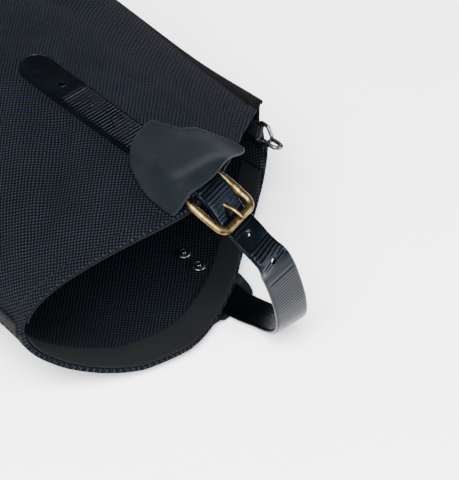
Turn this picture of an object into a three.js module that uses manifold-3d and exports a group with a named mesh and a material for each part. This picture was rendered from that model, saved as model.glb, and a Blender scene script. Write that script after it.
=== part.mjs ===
// A hiking gaiter for a right boot, in its worn shape and lying on its inner side.
// +X points to the toe, +Y up the leg and +Z to the outer side of the leg, where the buckle is.
// The origin is under the middle of the whole object, on the surface that it lies on. Millimetres.
import * as THREE from "three";
import { mergeVertices } from "three/addons/utils/BufferGeometryUtils.js";
import Module from "manifold-3d";

// The shaft: heights are measured up the leg from the underside of the boot's sole.
const TOP_Y = 430;
const SHIN_X = 130;
const INSTEP_REACH = 9;
const INSTEP_Y = 120;
const INSTEP_FADE = 16;
const HEEL_X = -46;
const CALF_IN = 28;
const KNEE_IN = 9;
const PROW = 13;
const PROW_FROM = 0.5;
const CALF_START_Y = 180;
const ANKLE_HALF_WIDTH = 50;
const TOP_EXTRA_HALF_WIDTH = 8;
const REST_DEPTH = 46;
const FABRIC = 2.5;
const GAP = 0.3;

// The lower hem: lowest beside the instep strap, rising to the heel and to the front corner.
const HEM_LOW_Y = 37;
const HEM_LOW_X = 35;
const HEM_HEEL_RISE = 25;
const HEM_HEEL_RUN = 81;
const HEM_TOE_RISE = 68;
const HEM_TOE_RUN = 100;
const HEM_CURVE = 1.6;
const HEM_FACING = 17.7;
const ELASTIC_SHARE = 0.24;
const ELASTIC_WIDTH = 19.7;

// Angles round the leg, in degrees from the front over the outer side.
const FLAP_EDGE = 40;
const FLAP_ROOT = 62;
const SHELL_FRONT = 64;
const BACK_SEAM = 180;
const SEAM_GAP = 0.2;
const INNER_FRONT = 342;
const UNDERLAP_START = 330;
const UNDERLAP_END = 416;
const TAPE_START = 372;
const TAPE_END = 412;
const HOOK_TAPE_START = 42.5;

// The front closure, outside to inside.
const FLAP_THICK = 2;
const TAPE_THICK = 1.5;
const UNDERLAP_THICK = 2;
const TAPE_TOP_SHARE = 0.9;
const TAPE_END_MARGIN = 0.012;

// The top cuff with its webbing and cam buckle.
const CUFF_START = 74;
const CUFF_HEIGHT = 27.5;
const CUFF_THICK = 1.2;
const WEBBING_WIDTH = 15;
const WEBBING_THICK = 1.1;
const WEBBING_SETBACK = 6.6;
const WEBBING_LEAD = 28;
const CAM_ANGLE = 120;
const CAM_LENGTH = 22;
const CAM_WALL = 1.6;
const CAM_HEIGHT = 8.5;
const CAM_PIN_R = 1.2;
const CAM_PIN_HEIGHT = 5.6;
const LEVER_LENGTH = 19;
const LEVER_THICK = 1.8;

// The instep strap and its buckle.
const STRAP_WIDTH = 19;
const STRAP_THICK = 2.2;
const STRAP_HOLE_R = 1.6;
const SLOT_HALF = 5;
const TAIL_TIP = [41.5, 172];
const HEEL_BAR = [48.5, 44];
const BUCKLE_LENGTH = 25;
const BUCKLE_CLEAR = 1.3;
const BUCKLE_HEADING = 16.7;
const BUCKLE_TILT = 25.5;
const BAR_R = 1.75;
const HEEL_BAR_R = 1.25;
const TONGUE_R = 1.1;
const KEEPER_THICK = 0.8;
const KEEPER_LENGTH = 16;
const KEEPER_WIDTH = 18;
const SEAT_LIFT = 1.1;

// The patches that the strap is fixed to.
const PATCH_THICK = 1.5;
const TUNNEL_CLEAR = 0.9;
const TUNNEL_SIDE = 2.5;
const TUNNEL_SLOPE = 0.8;
const INNER_PATCH_THICK = 5;
const ANCHOR_X = 75;
const ANCHOR_LENGTH = 50;
const RIVET_R = 1.5;
const RIVET_HEAD_R = 4;
const RIVET_HEAD_THICK = 0.9;

// The press stud at the top and the hook for the boot's laces.
const SNAP_ANGLE = 49;
const SNAP_SHARE = 0.95;
const SNAP_R = 6;
const SNAP_STEM_R = 1.8;
const HOOK_WIRE_R = 1.1;
const HOOK_WIDTH = 11;
const HOOK_REACH = 17;
const TAB_WIDTH = 10;
const HOOK_SETBACK = 1.3;

const ANGLE_STEP = 7.5;
const ROWS = 13;
const ROW_CURVE = 1.3;

const wasm = await Module();
wasm.setup();

const radians = THREE.MathUtils.degToRad;
const smooth = (v, from, to) => THREE.MathUtils.smoothstep(v, from, to);

// ---- colours ----
function finish(color, roughness, metalness = 0) {
  return new THREE.MeshStandardMaterial({ color, roughness, metalness });
}
const oxford = finish(0x1f232b, 0.9);
const coated = finish(0x2c3034, 0.6);
const tape = finish(0x141619, 0.85);
const strapPlastic = finish(0x2b3035, 0.4);
const webbing = finish(0x16181b, 0.8);
const brass = finish(0xa88d55, 0.35, 1);
const steel = finish(0x8b8f93, 0.35, 1);
const moulded = finish(0x17191c, 0.5);

// ---- closed meshes and booleans ----
function geometryOf(points, triangles) {
  const positions = new Float32Array(points.flatMap((p) => [p.x, p.y, p.z]));
  const geometry = new THREE.BufferGeometry();
  geometry.setAttribute("position", new THREE.BufferAttribute(positions, 3));
  geometry.setIndex(triangles);
  return geometry;
}

function solidOf(geometry) {
  const bare = geometry.clone();
  bare.deleteAttribute("normal");
  bare.deleteAttribute("uv");
  const merged = mergeVertices(bare, 1e-4);
  return new wasm.Manifold(
    new wasm.Mesh({
      numProp: 3,
      vertProperties: merged.attributes.position.array,
      triVerts: new Uint32Array(merged.index.array),
    }),
  );
}

function geometryFromSolid(solid) {
  const mesh = solid.getMesh();
  const geometry = new THREE.BufferGeometry();
  geometry.setAttribute("position", new THREE.BufferAttribute(mesh.vertProperties, 3));
  geometry.setIndex(new THREE.BufferAttribute(mesh.triVerts, 1));
  return geometry;
}

function cut(geometry, ...tools) {
  const left = tools.reduce((solid, tool) => solid.subtract(solidOf(tool)), solidOf(geometry));
  return geometryFromSolid(left);
}

function join(geometry, ...others) {
  const whole = others.reduce((solid, other) => solid.add(solidOf(other)), solidOf(geometry));
  return geometryFromSolid(whole);
}

function meshOf(name, geometry, material) {
  const mesh = new THREE.Mesh(geometry, material);
  mesh.name = name;
  return mesh;
}

// ---- the worn surface of the shaft ----
function frontX(y) {
  const instep = INSTEP_REACH / (1 + Math.exp((y - INSTEP_Y) / INSTEP_FADE));
  return SHIN_X + instep - KNEE_IN * smooth(y, CALF_START_Y, TOP_Y);
}

function backX(y) {
  return HEEL_X + CALF_IN * smooth(y, CALF_START_Y, TOP_Y);
}

function middleX(y) {
  return (frontX(y) + backX(y)) / 2;
}

function halfDepth(y) {
  return (frontX(y) - backX(y)) / 2;
}

function halfWidth(y) {
  return ANKLE_HALF_WIDTH + TOP_EXTRA_HALF_WIDTH * smooth(y, INSTEP_Y, TOP_Y);
}

// How deep the inner side lies: it sinks a little towards the top, by what the inner patch adds lower down.
function restDepth(y) {
  const sink = INNER_PATCH_THICK - CUFF_THICK - GAP;
  return REST_DEPTH + sink * smooth(y, INSTEP_Y, TOP_Y);
}

function hemY(angle) {
  const x = middleX(HEM_LOW_Y) + halfDepth(HEM_LOW_Y) * Math.cos(radians(angle));
  const run = x < HEM_LOW_X ? HEM_HEEL_RUN : HEM_TOE_RUN;
  const rise = x < HEM_LOW_X ? HEM_HEEL_RISE : HEM_TOE_RISE;
  return HEM_LOW_Y + rise * (Math.abs(x - HEM_LOW_X) / run) ** HEM_CURVE;
}

// A point of the shaft at an angle, a share of the way from hem to top, and a depth below the surface.
function shaftPoint(angle, share, depth) {
  const hem = hemY(angle);
  const y = hem + share * (TOP_Y - hem);
  const a = radians(angle);
  const x = middleX(y) + (halfDepth(y) - depth) * Math.cos(a) + prow(angle);
  const z = (halfWidth(y) - depth) * Math.sin(a);
  return new THREE.Vector3(x, y, Math.max(z, depth - restDepth(y)));
}

// How far the front stands out beyond the plain oval, where the laces push the closure forward.
function prow(angle) {
  return PROW * smooth(Math.cos(radians(angle)), PROW_FROM, 1);
}

function outerZ(x, y) {
  const across = (x - middleX(y)) / halfDepth(y);
  return halfWidth(y) * Math.sqrt(Math.max(0, 1 - across * across));
}

function shaftNormal(angle, share) {
  const at = shaftPoint(angle, share, 0);
  const round = shaftPoint(angle + 1, share, 0).sub(at);
  const up = shaftPoint(angle, Math.min(share + 0.01, 1), 0).sub(shaftPoint(angle, share - 0.01, 0));
  return up.cross(round).normalize();
}

// The stops between two values: both ends, and every stop of the common grid between them.
function stops(from, to, grid) {
  const near = 1e-6;
  return [from, ...grid.filter((v) => v > from + near && v < to - near), to];
}

const CUFF_SHARE = 1 - CUFF_HEIGHT / (TOP_Y - HEM_LOW_Y);
const ANGLE_GRID = Array.from({ length: 96 }, (_, i) => i * ANGLE_STEP);
const EVEN_SHARES = Array.from({ length: ROWS + 1 }, (_, i) => (i / ROWS) ** ROW_CURVE);
const SHARE_GRID = [...EVEN_SHARES, CUFF_SHARE].sort((a, b) => a - b);

// A closed sheet between two depths. A depth may be a function of the angle.
function sheet(fromAngle, toAngle, fromShare, toShare, outer, inner) {
  const angles = stops(fromAngle, toAngle, ANGLE_GRID);
  const shares = stops(fromShare, toShare, SHARE_GRID);
  const depth = (d, angle) => (typeof d === "function" ? d(angle) : d);
  const side = (d) =>
    shares.flatMap((share) => angles.map((angle) => shaftPoint(angle, share, depth(d, angle))));
  return slab(side(outer), side(inner), angles.length, shares.length);
}

// Joins two grids of points, an outer and an inner one, into a closed slab.
function slab(outer, inner, columns, rows) {
  const points = [...outer, ...inner];
  const offset = outer.length;
  const triangles = [];
  const quad = (a, b, c, d) => triangles.push(a, b, c, a, c, d);
  for (let r = 0; r + 1 < rows; r++) {
    for (let c = 0; c + 1 < columns; c++) {
      const a = r * columns + c;
      const d = a + columns;
      quad(a, d, d + 1, a + 1);
      quad(offset + a, offset + a + 1, offset + d + 1, offset + d);
    }
  }
  for (let c = 0; c + 1 < columns; c++) {
    const top = (rows - 1) * columns + c;
    quad(c, c + 1, offset + c + 1, offset + c);
    quad(top + 1, top, offset + top, offset + top + 1);
  }
  for (let r = 0; r + 1 < rows; r++) {
    const left = r * columns;
    const right = left + columns - 1;
    quad(left + columns, left, offset + left, offset + left + columns);
    quad(right, right + columns, offset + right + columns, offset + right);
  }
  return geometryOf(points, triangles);
}

// ---- ribbons ----
// A flat strip along a curve. Its width lies along what the hint gives, squared to the curve.
function ribbon(curve, steps, width, thick, hint, roundEnd = 0) {
  const above = [];
  const below = [];
  const length = curve.getLength();
  for (let i = 0; i <= steps; i++) {
    const along = i / steps;
    const at = curve.getPointAt(along);
    const tangent = curve.getTangentAt(along);
    const wide = hint(at, tangent);
    const across = wide.addScaledVector(tangent, -wide.dot(tangent)).normalize();
    const up = across.clone().cross(tangent).normalize();
    const fromEnd = Math.min(along * length, roundEnd);
    const half = roundEnd ? tipHalf(fromEnd, roundEnd, width) : width / 2;
    for (const s of [1, -1]) {
      above.push(at.clone().addScaledVector(across, s * half).addScaledVector(up, thick / 2));
      below.push(at.clone().addScaledVector(across, s * half).addScaledVector(up, -thick / 2));
    }
  }
  return slab(above, below, 2, steps + 1);
}

// Half the width of a strip with a blunt round tip.
function tipHalf(fromEnd, reach, width) {
  const u = 1 - fromEnd / reach;
  return (width / 2) * (0.45 + 0.55 * Math.sqrt(Math.max(0, 1 - u * u)));
}

// A closed ring of bar along a closed plane path. The radius may change along it.
function barLoop(points, radii, sides = 8) {
  const count = points.length;
  const rim = [];
  points.forEach((p, i) => {
    const before = points[(i + count - 1) % count];
    const after = points[(i + 1) % count];
    const along = after.clone().sub(before).normalize();
    const out = new THREE.Vector3(along.y, -along.x, 0);
    for (let s = 0; s < sides; s++) {
      const turn = (2 * Math.PI * s) / sides;
      const q = p.clone().addScaledVector(out, radii[i] * Math.cos(turn));
      q.z += radii[i] * Math.sin(turn);
      rim.push(q);
    }
  });
  const triangles = [];
  for (let i = 0; i < count; i++) {
    for (let s = 0; s < sides; s++) {
      const a = i * sides + s;
      const b = i * sides + ((s + 1) % sides);
      const c = ((i + 1) % count) * sides + ((s + 1) % sides);
      const d = ((i + 1) % count) * sides + s;
      triangles.push(a, b, c, a, c, d);
    }
  }
  return outwards(geometryOf(rim, triangles));
}

function outwards(geometry) {
  if (solidOf(geometry).volume() > 0) return geometry;
  const index = Array.from(geometry.index.array);
  for (let i = 0; i < index.length; i += 3) {
    [index[i + 1], index[i + 2]] = [index[i + 2], index[i + 1]];
  }
  geometry.setIndex(index);
  return geometry;
}

function tube(points, radius, sides = 8) {
  const path = new THREE.CatmullRomCurve3(points, false, "centripetal");
  const circle = new THREE.Shape();
  circle.absarc(0, 0, radius, 0, 2 * Math.PI);
  return new THREE.ExtrudeGeometry(circle, {
    steps: points.length * 2,
    curveSegments: sides / 2,
    extrudePath: path,
  });
}

// ---- placing on the shaft ----
// A frame whose Z is the outward normal, Y runs up the leg and X round it.
function mountFrame(angle, share, depth) {
  const normal = shaftNormal(angle, share);
  const up = new THREE.Vector3(0, 1, 0).addScaledVector(normal, -normal.y).normalize();
  const round = up.clone().cross(normal);
  const frame = new THREE.Matrix4().makeBasis(round, up, normal);
  frame.setPosition(shaftPoint(angle, share, 0).addScaledVector(normal, -depth));
  return frame;
}

function groupAt(matrix) {
  const group = new THREE.Group();
  matrix.decompose(group.position, group.quaternion, group.scale);
  return group;
}

// A cylinder along Z from one height to another.
function rod(radius, from, to, sides = 24) {
  const geometry = new THREE.CylinderGeometry(radius, radius, to - from, sides);
  geometry.rotateX(Math.PI / 2);
  geometry.translate(0, 0, (from + to) / 2);
  return geometry;
}

function box(from, to) {
  const size = to.map((v, i) => v - from[i]);
  const geometry = new THREE.BoxGeometry(...size);
  geometry.translate(...from.map((v, i) => v + size[i] / 2));
  return geometry;
}

// ---- the fabric body ----
const part = new THREE.Group();

const tapeOuter = FLAP_THICK + GAP;
const loopOuter = tapeOuter + TAPE_THICK + GAP;
const underlapOuter = loopOuter + TAPE_THICK + GAP;

// The underlap is sewn under the inner panel's margin, and drops to clear the tapes in front of it.
function underlapDepth(angle) {
  const under = FABRIC + GAP;
  return under + (underlapOuter - under) * smooth(angle, UNDERLAP_START + 14, UNDERLAP_START + 26);
}

function buildPanels(rivetHoles) {
  const outer = sheet(SHELL_FRONT, BACK_SEAM - SEAM_GAP, 0, 1, 0, FABRIC);
  const inner = sheet(BACK_SEAM + SEAM_GAP, INNER_FRONT, 0, 1, 0, FABRIC);
  part.add(meshOf("lateral_panel", outer, oxford));
  part.add(meshOf("medial_panel", cut(inner, ...rivetHoles), oxford));
  const seam = sheet(BACK_SEAM - 5, BACK_SEAM + 5, 0.01, CUFF_SHARE - 0.02, -GAP - 1, -GAP);
  part.add(meshOf("back_seam_tape", seam, tape));
  const under = FABRIC + GAP;
  const facing = (from, to) => sheet(from, to, 0, HEM_FACING / (TOP_Y - HEM_LOW_Y), under, under + 1.2);
  part.add(meshOf("hem_facing_lateral", facing(SHELL_FRONT, BACK_SEAM - 6), webbing));
  part.add(meshOf("hem_facing_medial", facing(BACK_SEAM + 6, UNDERLAP_START - 1), webbing));
  const elasticTop = ELASTIC_SHARE + ELASTIC_WIDTH / (TOP_Y - HEM_LOW_Y);
  const elastic = sheet(96, 264, ELASTIC_SHARE, elasticTop, under, under + 1.3);
  part.add(meshOf("ankle_elastic", elastic, webbing));
}

function buildClosure(snapHoles) {
  const flap = sheet(FLAP_EDGE, FLAP_ROOT, 0, 1, 0, FLAP_THICK);
  part.add(meshOf("front_flap", cut(flap, snapHoles.flap), oxford));
  const hooks = sheet(
    HOOK_TAPE_START,
    TAPE_END - 360,
    TAPE_END_MARGIN,
    TAPE_TOP_SHARE,
    tapeOuter,
    tapeOuter + TAPE_THICK,
  );
  part.add(meshOf("hook_tape", hooks, tape));
  const loops = sheet(TAPE_START, TAPE_END, 0, TAPE_TOP_SHARE, loopOuter, loopOuter + TAPE_THICK);
  part.add(meshOf("loop_tape", loops, tape));
  const inner = (angle) => underlapDepth(angle) + UNDERLAP_THICK;
  const underlap = sheet(UNDERLAP_START, UNDERLAP_END, 0, 1, underlapDepth, inner);
  part.add(meshOf("underlap", cut(underlap, snapHoles.underlap), oxford));
}

// ---- the press stud at the top of the flap ----
function placedTool(matrix, geometry) {
  return geometry.clone().applyMatrix4(matrix);
}

const snapFrame = mountFrame(SNAP_ANGLE, SNAP_SHARE, 0);
const SNAP_LIFT = 0.6;
const snapSocketZ = -FLAP_THICK - SNAP_LIFT;
const snapStudZ = -underlapOuter + SNAP_LIFT;
const snapHoles = {
  flap: placedTool(snapFrame, rod(SNAP_STEM_R + GAP, -FLAP_THICK - 3, 3)),
  underlap: placedTool(snapFrame, rod(SNAP_STEM_R + GAP, -underlapOuter - 5, -underlapOuter + 2)),
};

function buildSnap() {
  const group = groupAt(snapFrame);
  const cap = join(rod(SNAP_R, SNAP_LIFT, SNAP_LIFT + 1.3), rod(SNAP_STEM_R, snapSocketZ + GAP, 1));
  const socket = cut(
    rod(SNAP_R - 0.6, snapSocketZ - 1.2, snapSocketZ),
    rod(SNAP_STEM_R, snapSocketZ - 2, snapSocketZ - 0.5),
  );
  const back = snapStudZ - 2 * SNAP_LIFT - UNDERLAP_THICK;
  const stud = join(
    rod(SNAP_R - 1, snapStudZ, snapStudZ + 0.7),
    rod(SNAP_STEM_R, back + GAP, snapStudZ + 0.2),
  );
  const ring = rod(SNAP_R - 1, back - 0.8, back);
  group.add(meshOf("snap_cap", cap, steel));
  group.add(meshOf("snap_socket", socket, steel));
  group.add(meshOf("snap_stud", stud, steel));
  group.add(meshOf("snap_stud_back", ring, steel));
  part.add(group);
}

// ---- the cuff with its webbing and cam buckle ----
const cuffDepth = -GAP - CUFF_THICK;
const webbingShare = (CUFF_SHARE + 1) / 2;
const anchorDepth = cuffDepth - GAP - WEBBING_THICK;
const camFrame = mountFrame(CAM_ANGLE, webbingShare, anchorDepth - 2 * GAP);
const camWebbingZ = CAM_WALL + GAP + WEBBING_THICK / 2;
const CAM_INNER_HALF = WEBBING_WIDTH / 2 + 0.6;

function webbingCurve() {
  const points = [];
  const lie = cuffDepth - 2 * GAP - WEBBING_THICK / 2;
  const flatFrom = 180 + THREE.MathUtils.radToDeg(Math.asin(restDepth(TOP_Y) / halfWidth(TOP_Y)));
  const steps = 7;
  for (let i = 0; i <= steps; i++) {
    const angle = THREE.MathUtils.lerp(flatFrom - WEBBING_SETBACK, CAM_ANGLE + WEBBING_LEAD, i / steps);
    points.push(shaftPoint(angle, webbingShare, lie));
  }
  for (const u of [-17, -11, 0, 11]) {
    points.push(new THREE.Vector3(u, 0, camWebbingZ).applyMatrix4(camFrame));
  }
  points.push(shaftPoint(95, webbingShare, lie - 2.2));
  points.push(shaftPoint(84, webbingShare, lie - 1));
  return new THREE.CatmullRomCurve3(points, false, "centripetal");
}

function buildCuff() {
  const cuff = sheet(CUFF_START, INNER_FRONT, CUFF_SHARE, 1, cuffDepth, -GAP);
  part.add(meshOf("top_cuff", cuff, webbing));
  const half = WEBBING_WIDTH / 2 / (TOP_Y - HEM_LOW_Y);
  const anchor = sheet(
    CAM_ANGLE - 14,
    CAM_ANGLE + 8,
    webbingShare - half,
    webbingShare + half,
    anchorDepth,
    cuffDepth - GAP,
  );
  part.add(meshOf("cam_buckle_anchor", anchor, webbing));
  const up = () => new THREE.Vector3(0, 1, 0);
  part.add(meshOf("calf_webbing", ribbon(webbingCurve(), 32, WEBBING_WIDTH, WEBBING_THICK, up), webbing));
}

function buildCamBuckle() {
  const group = groupAt(camFrame);
  const halfLength = CAM_LENGTH / 2;
  const outerHalf = CAM_INNER_HALF + CAM_WALL;
  const base = box([-halfLength, -outerHalf, 0], [halfLength, outerHalf, CAM_WALL]);
  const ear = (side) => {
    const inside = side * CAM_INNER_HALF;
    const outside = side * outerHalf;
    const low = Math.min(inside, outside);
    return box([-halfLength + 3, low, CAM_WALL / 2], [4, low + CAM_WALL, CAM_HEIGHT]);
  };
  const pinAt = (radius, half) => {
    const pin = new THREE.CylinderGeometry(radius, radius, 2 * half, 16);
    pin.translate(-4, 0, CAM_PIN_HEIGHT);
    return pin;
  };
  const hole = pinAt(CAM_PIN_R + GAP, outerHalf + 1);
  group.add(meshOf("cam_buckle_body", cut(join(base, ear(1), ear(-1)), hole), moulded));
  group.add(meshOf("cam_buckle_pin", pinAt(CAM_PIN_R, outerHalf - 0.1), steel));
  const leverHalf = CAM_INNER_HALF - GAP;
  const cam = new THREE.CylinderGeometry(2.3, 2.3, 2 * leverHalf, 20);
  cam.translate(-4, 0, CAM_PIN_HEIGHT + 0.35);
  const plate = box(
    [-4, -leverHalf, CAM_PIN_HEIGHT + 0.8],
    [LEVER_LENGTH - 4, leverHalf, CAM_PIN_HEIGHT + 0.8 + LEVER_THICK],
  );
  group.add(meshOf("cam_buckle_lever", cut(join(cam, plate), hole), moulded));
  part.add(group);
}

// ---- the instep strap ----
const heelBar = new THREE.Vector3(...HEEL_BAR, 0);
const keeperSeat = HEEL_BAR_R + GAP + KEEPER_THICK;
heelBar.z = outerZ(...HEEL_BAR) + keeperSeat + SEAT_LIFT;
const heading = radians(BUCKLE_HEADING);
const tilt = radians(BUCKLE_TILT);
const toFarBar = new THREE.Vector3(
  Math.sin(heading) * Math.cos(tilt),
  -Math.cos(heading) * Math.cos(tilt),
  -Math.sin(tilt),
);
const acrossBuckle = new THREE.Vector3(Math.cos(heading), Math.sin(heading), 0);
const outOfBuckle = toFarBar.clone().cross(acrossBuckle).normalize();
const buckleFrame = new THREE.Matrix4().makeBasis(acrossBuckle, toFarBar.clone().negate(), outOfBuckle);
buckleFrame.setPosition(heelBar);

const strapOverBar = keeperSeat + 2 * GAP + STRAP_THICK / 2;
const strapUnderBar = -(BAR_R + GAP + STRAP_THICK / 2);
const tailLift = STRAP_THICK / 2 + 2 * GAP;

function buckleSpot(along, out) {
  return new THREE.Vector3(0, -along, out).applyMatrix4(buckleFrame);
}

function tailSpot(share, lift) {
  const x = THREE.MathUtils.lerp(HEEL_BAR[0] + 1, TAIL_TIP[0], share);
  const y = THREE.MathUtils.lerp(HEEL_BAR[1], TAIL_TIP[1], share);
  return new THREE.Vector3(x, y, outerZ(x, y) + lift);
}

const anchorZ = -REST_DEPTH - 2 * GAP - STRAP_THICK / 2;
const anchorLowY = HEM_LOW_Y + 10;

function strapCurve() {
  const points = [
    tailSpot(1, tailLift),
    tailSpot(0.8, tailLift),
    tailSpot(0.6, tailLift),
    tailSpot(0.42, tailLift),
    tailSpot(0.28, tailLift + 0.5),
    tailSpot(0.18, tailLift + 2),
    tailSpot(0.08, tailLift + 3.2),
    buckleSpot(-2, strapOverBar),
    buckleSpot(4, strapOverBar - 0.1),
    buckleSpot(9, strapOverBar - 0.9),
    buckleSpot(15.5, 0.6),
    buckleSpot(19.5, strapUnderBar + 1.6),
    buckleSpot(22.7, strapUnderBar + 0.2),
    buckleSpot(BUCKLE_LENGTH, strapUnderBar),
    buckleSpot(BUCKLE_LENGTH + 5, strapUnderBar - 0.6),
    new THREE.Vector3(58, 12, 31.5),
    new THREE.Vector3(60.5, 6.5, 26),
    new THREE.Vector3(64, 4.4, 17),
    new THREE.Vector3(68.5, 4, 3),
    new THREE.Vector3(73, 4.4, -14),
    new THREE.Vector3(75.5, 6.5, -26),
    new THREE.Vector3(77.3, 11, -34),
    new THREE.Vector3(78.6, 19, -40.5),
    new THREE.Vector3(79.5, 30, -45.2),
    new THREE.Vector3(ANCHOR_X, anchorLowY, anchorZ),
    new THREE.Vector3(ANCHOR_X, anchorLowY + ANCHOR_LENGTH / 2, anchorZ),
    new THREE.Vector3(ANCHOR_X, anchorLowY + ANCHOR_LENGTH, anchorZ),
  ];
  return new THREE.CatmullRomCurve3(points, false, "centripetal");
}

// A cutter for one strap hole, square to the strap where the curve passes a share of its length.
function strapHole(curve, share, halfLength = 0) {
  const at = curve.getPointAt(share);
  const tangent = curve.getTangentAt(share);
  const across = new THREE.Vector3(1, 0, 0).addScaledVector(tangent, -tangent.x).normalize();
  const up = across.clone().cross(tangent);
  const frame = new THREE.Matrix4().makeBasis(across, tangent, up).setPosition(at);
  const round = rod(STRAP_HOLE_R, -4, 4, 12);
  if (!halfLength) return round.applyMatrix4(frame);
  const slot = box([-STRAP_HOLE_R, -halfLength, -4], [STRAP_HOLE_R, halfLength, 4]);
  return slot.applyMatrix4(frame);
}

// Level across the outer side of the leg, and along the boot under the sole.
function strapAcross(at, tangent) {
  const level = new THREE.Vector3(-tangent.y, tangent.x, 0);
  const outerSide = smooth(at.z, 18, 34);
  return new THREE.Vector3(1, 0, 0).lerp(level, outerSide);
}

function nearestShare(curve, target) {
  let best = 0;
  const tries = 400;
  for (let i = 1; i <= tries; i++) {
    const share = i / tries;
    if (curve.getPointAt(share).distanceTo(target) < curve.getPointAt(best).distanceTo(target)) {
      best = share;
    }
  }
  return best;
}

const HOLE_PITCH = 18;
const rivetYs = [anchorLowY + 31, anchorLowY + 43];

function rivetTool(y, radius) {
  return rod(radius, -REST_DEPTH - INNER_PATCH_THICK - 3, -REST_DEPTH + FABRIC + 3).translate(
    ANCHOR_X,
    y,
    0,
  );
}

const tongueSpot = buckleSpot(15.5, 0.8);

function buildStrap() {
  const curve = strapCurve();
  const body = ribbon(curve, 72, STRAP_WIDTH, STRAP_THICK, strapAcross, 9);
  const length = curve.getLength();
  const tongueShare = nearestShare(curve, tongueSpot);
  const holes = [
    strapHole(curve, 28 / length),
    strapHole(curve, tongueShare, SLOT_HALF),
    strapHole(curve, tongueShare + HOLE_PITCH / length),
    strapHole(curve, tongueShare + (2 * HOLE_PITCH) / length),
    ...rivetYs.map((y) => rivetTool(y, RIVET_R + GAP)),
  ];
  part.add(meshOf("instep_strap", cut(body, ...holes), strapPlastic));
}

// ---- the buckle ----
function buildBuckle() {
  const group = groupAt(buckleFrame);
  const halfWide = STRAP_WIDTH / 2 + BUCKLE_CLEAR + BAR_R;
  const corner = 3.5;
  const heelCorner = 1.5;
  const outline = [];
  const radii = [];
  const add = (x, y, r) => {
    outline.push(new THREE.Vector3(x, y, 0));
    radii.push(r);
  };
  const arc = (cx, cy, r, from, bar) => {
    for (let i = 0; i <= 4; i++) {
      const a = radians(from + i * 22.5);
      add(cx + r * Math.cos(a), cy + r * Math.sin(a), bar);
    }
  };
  add(0, 0, HEEL_BAR_R);
  add(-halfWide + 4, 0, HEEL_BAR_R);
  arc(-halfWide + heelCorner, -heelCorner, heelCorner, 90, HEEL_BAR_R + 0.2);
  add(-halfWide, -BUCKLE_LENGTH / 2, BAR_R);
  arc(-halfWide + corner, -BUCKLE_LENGTH + corner, corner, 180, BAR_R);
  add(0, -BUCKLE_LENGTH, BAR_R);
  arc(halfWide - corner, -BUCKLE_LENGTH + corner, corner, 270, BAR_R);
  add(halfWide, -BUCKLE_LENGTH / 2, BAR_R);
  arc(halfWide - heelCorner, -heelCorner, heelCorner, 0, HEEL_BAR_R + 0.2);
  add(halfWide - 4, 0, HEEL_BAR_R);
  group.add(meshOf("buckle_frame", barLoop(outline, radii), brass));

  const ringHole = HEEL_BAR_R + 0.15;
  const ring = new THREE.CylinderGeometry(ringHole + 0.8, ringHole + 0.8, 3, 20).rotateZ(Math.PI / 2);
  const bore = new THREE.CylinderGeometry(ringHole, ringHole, 6, 20).rotateZ(Math.PI / 2);
  const spot = (along, out) => new THREE.Vector3(0, -along, out);
  const overFarBar = BAR_R + GAP + TONGUE_R;
  const shank = tube(
    [
      spot(1.9, 0.4),
      spot(6, 0.5),
      spot(10.5, 0.3),
      spot(15.5, 0.8),
      spot(20.5, overFarBar - 0.5),
      spot(BUCKLE_LENGTH, overFarBar),
      spot(BUCKLE_LENGTH + 2.4, overFarBar - 0.2),
    ],
    TONGUE_R,
    10,
  );
  const tongue = cut(join(ring, shank), bore);
  group.add(meshOf("buckle_tongue", tongue, brass));
  part.add(group);
}

// The webbing that holds the buckle: it loops round the heel bar, open in the middle for the tongue.
function buildKeeper() {
  const eye = HEEL_BAR_R + GAP;
  const outer = eye + KEEPER_THICK;
  const shape = new THREE.Shape();
  shape.moveTo(KEEPER_LENGTH, -outer);
  shape.lineTo(0, -outer);
  shape.absarc(0, 0, outer, -Math.PI / 2, -1.5 * Math.PI, true);
  shape.lineTo(3, outer - 0.8);
  shape.lineTo(8, -outer + 2 * KEEPER_THICK);
  shape.lineTo(KEEPER_LENGTH, -outer + 2 * KEEPER_THICK);
  shape.closePath();
  const hole = new THREE.Path();
  hole.absarc(0, 0, eye, 0, 2 * Math.PI);
  shape.holes.push(hole);
  const body = new THREE.ExtrudeGeometry(shape, {
    depth: KEEPER_WIDTH,
    bevelEnabled: false,
    curveSegments: 8,
  });
  body.translate(0, 0, -KEEPER_WIDTH / 2);
  const slot = box([-outer - 1, -outer - 1, -2], [6, outer + 1, 2]);
  const upLeg = new THREE.Vector3(-Math.sin(heading), Math.cos(heading), 0);
  const up = new THREE.Vector3(0, 0, 1);
  const frame = new THREE.Matrix4().makeBasis(upLeg, up, upLeg.clone().cross(up));
  const group = groupAt(frame.setPosition(heelBar));
  group.add(meshOf("buckle_keeper", cut(body, slot), webbing));
  part.add(group);
}

// ---- the patch over the buckle ----
// Its outline, anticlockwise seen from outside: a heart with its notch on the toe side.
const PATCH_OUTLINE = [
  [27, 37],
  [41, 37.5],
  [60, 44],
  [72, 49],
  [86, 55],
  [82, 68],
  [75, 78],
  [67, 80],
  [63, 87],
  [58, 93],
  [44, 88],
  [32, 76],
  [26.5, 58],
];
const PATCH_CENTRE = [50, 64];

function patchRim(count) {
  const closed = true;
  const corners = PATCH_OUTLINE.map(([x, y]) => new THREE.Vector3(x, y, 0));
  const curve = new THREE.CatmullRomCurve3(corners, closed, "catmullrom", 0.3);
  return curve.getSpacedPoints(count).slice(0, count);
}

function strapTopAt(curve, y) {
  const tries = 60;
  let best = curve.getPointAt(0);
  for (let i = 0; i <= tries; i++) {
    const at = curve.getPointAt((0.5 * i) / tries);
    if (Math.abs(at.y - y) < Math.abs(best.y - y)) best = at;
  }
  return best;
}

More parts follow.
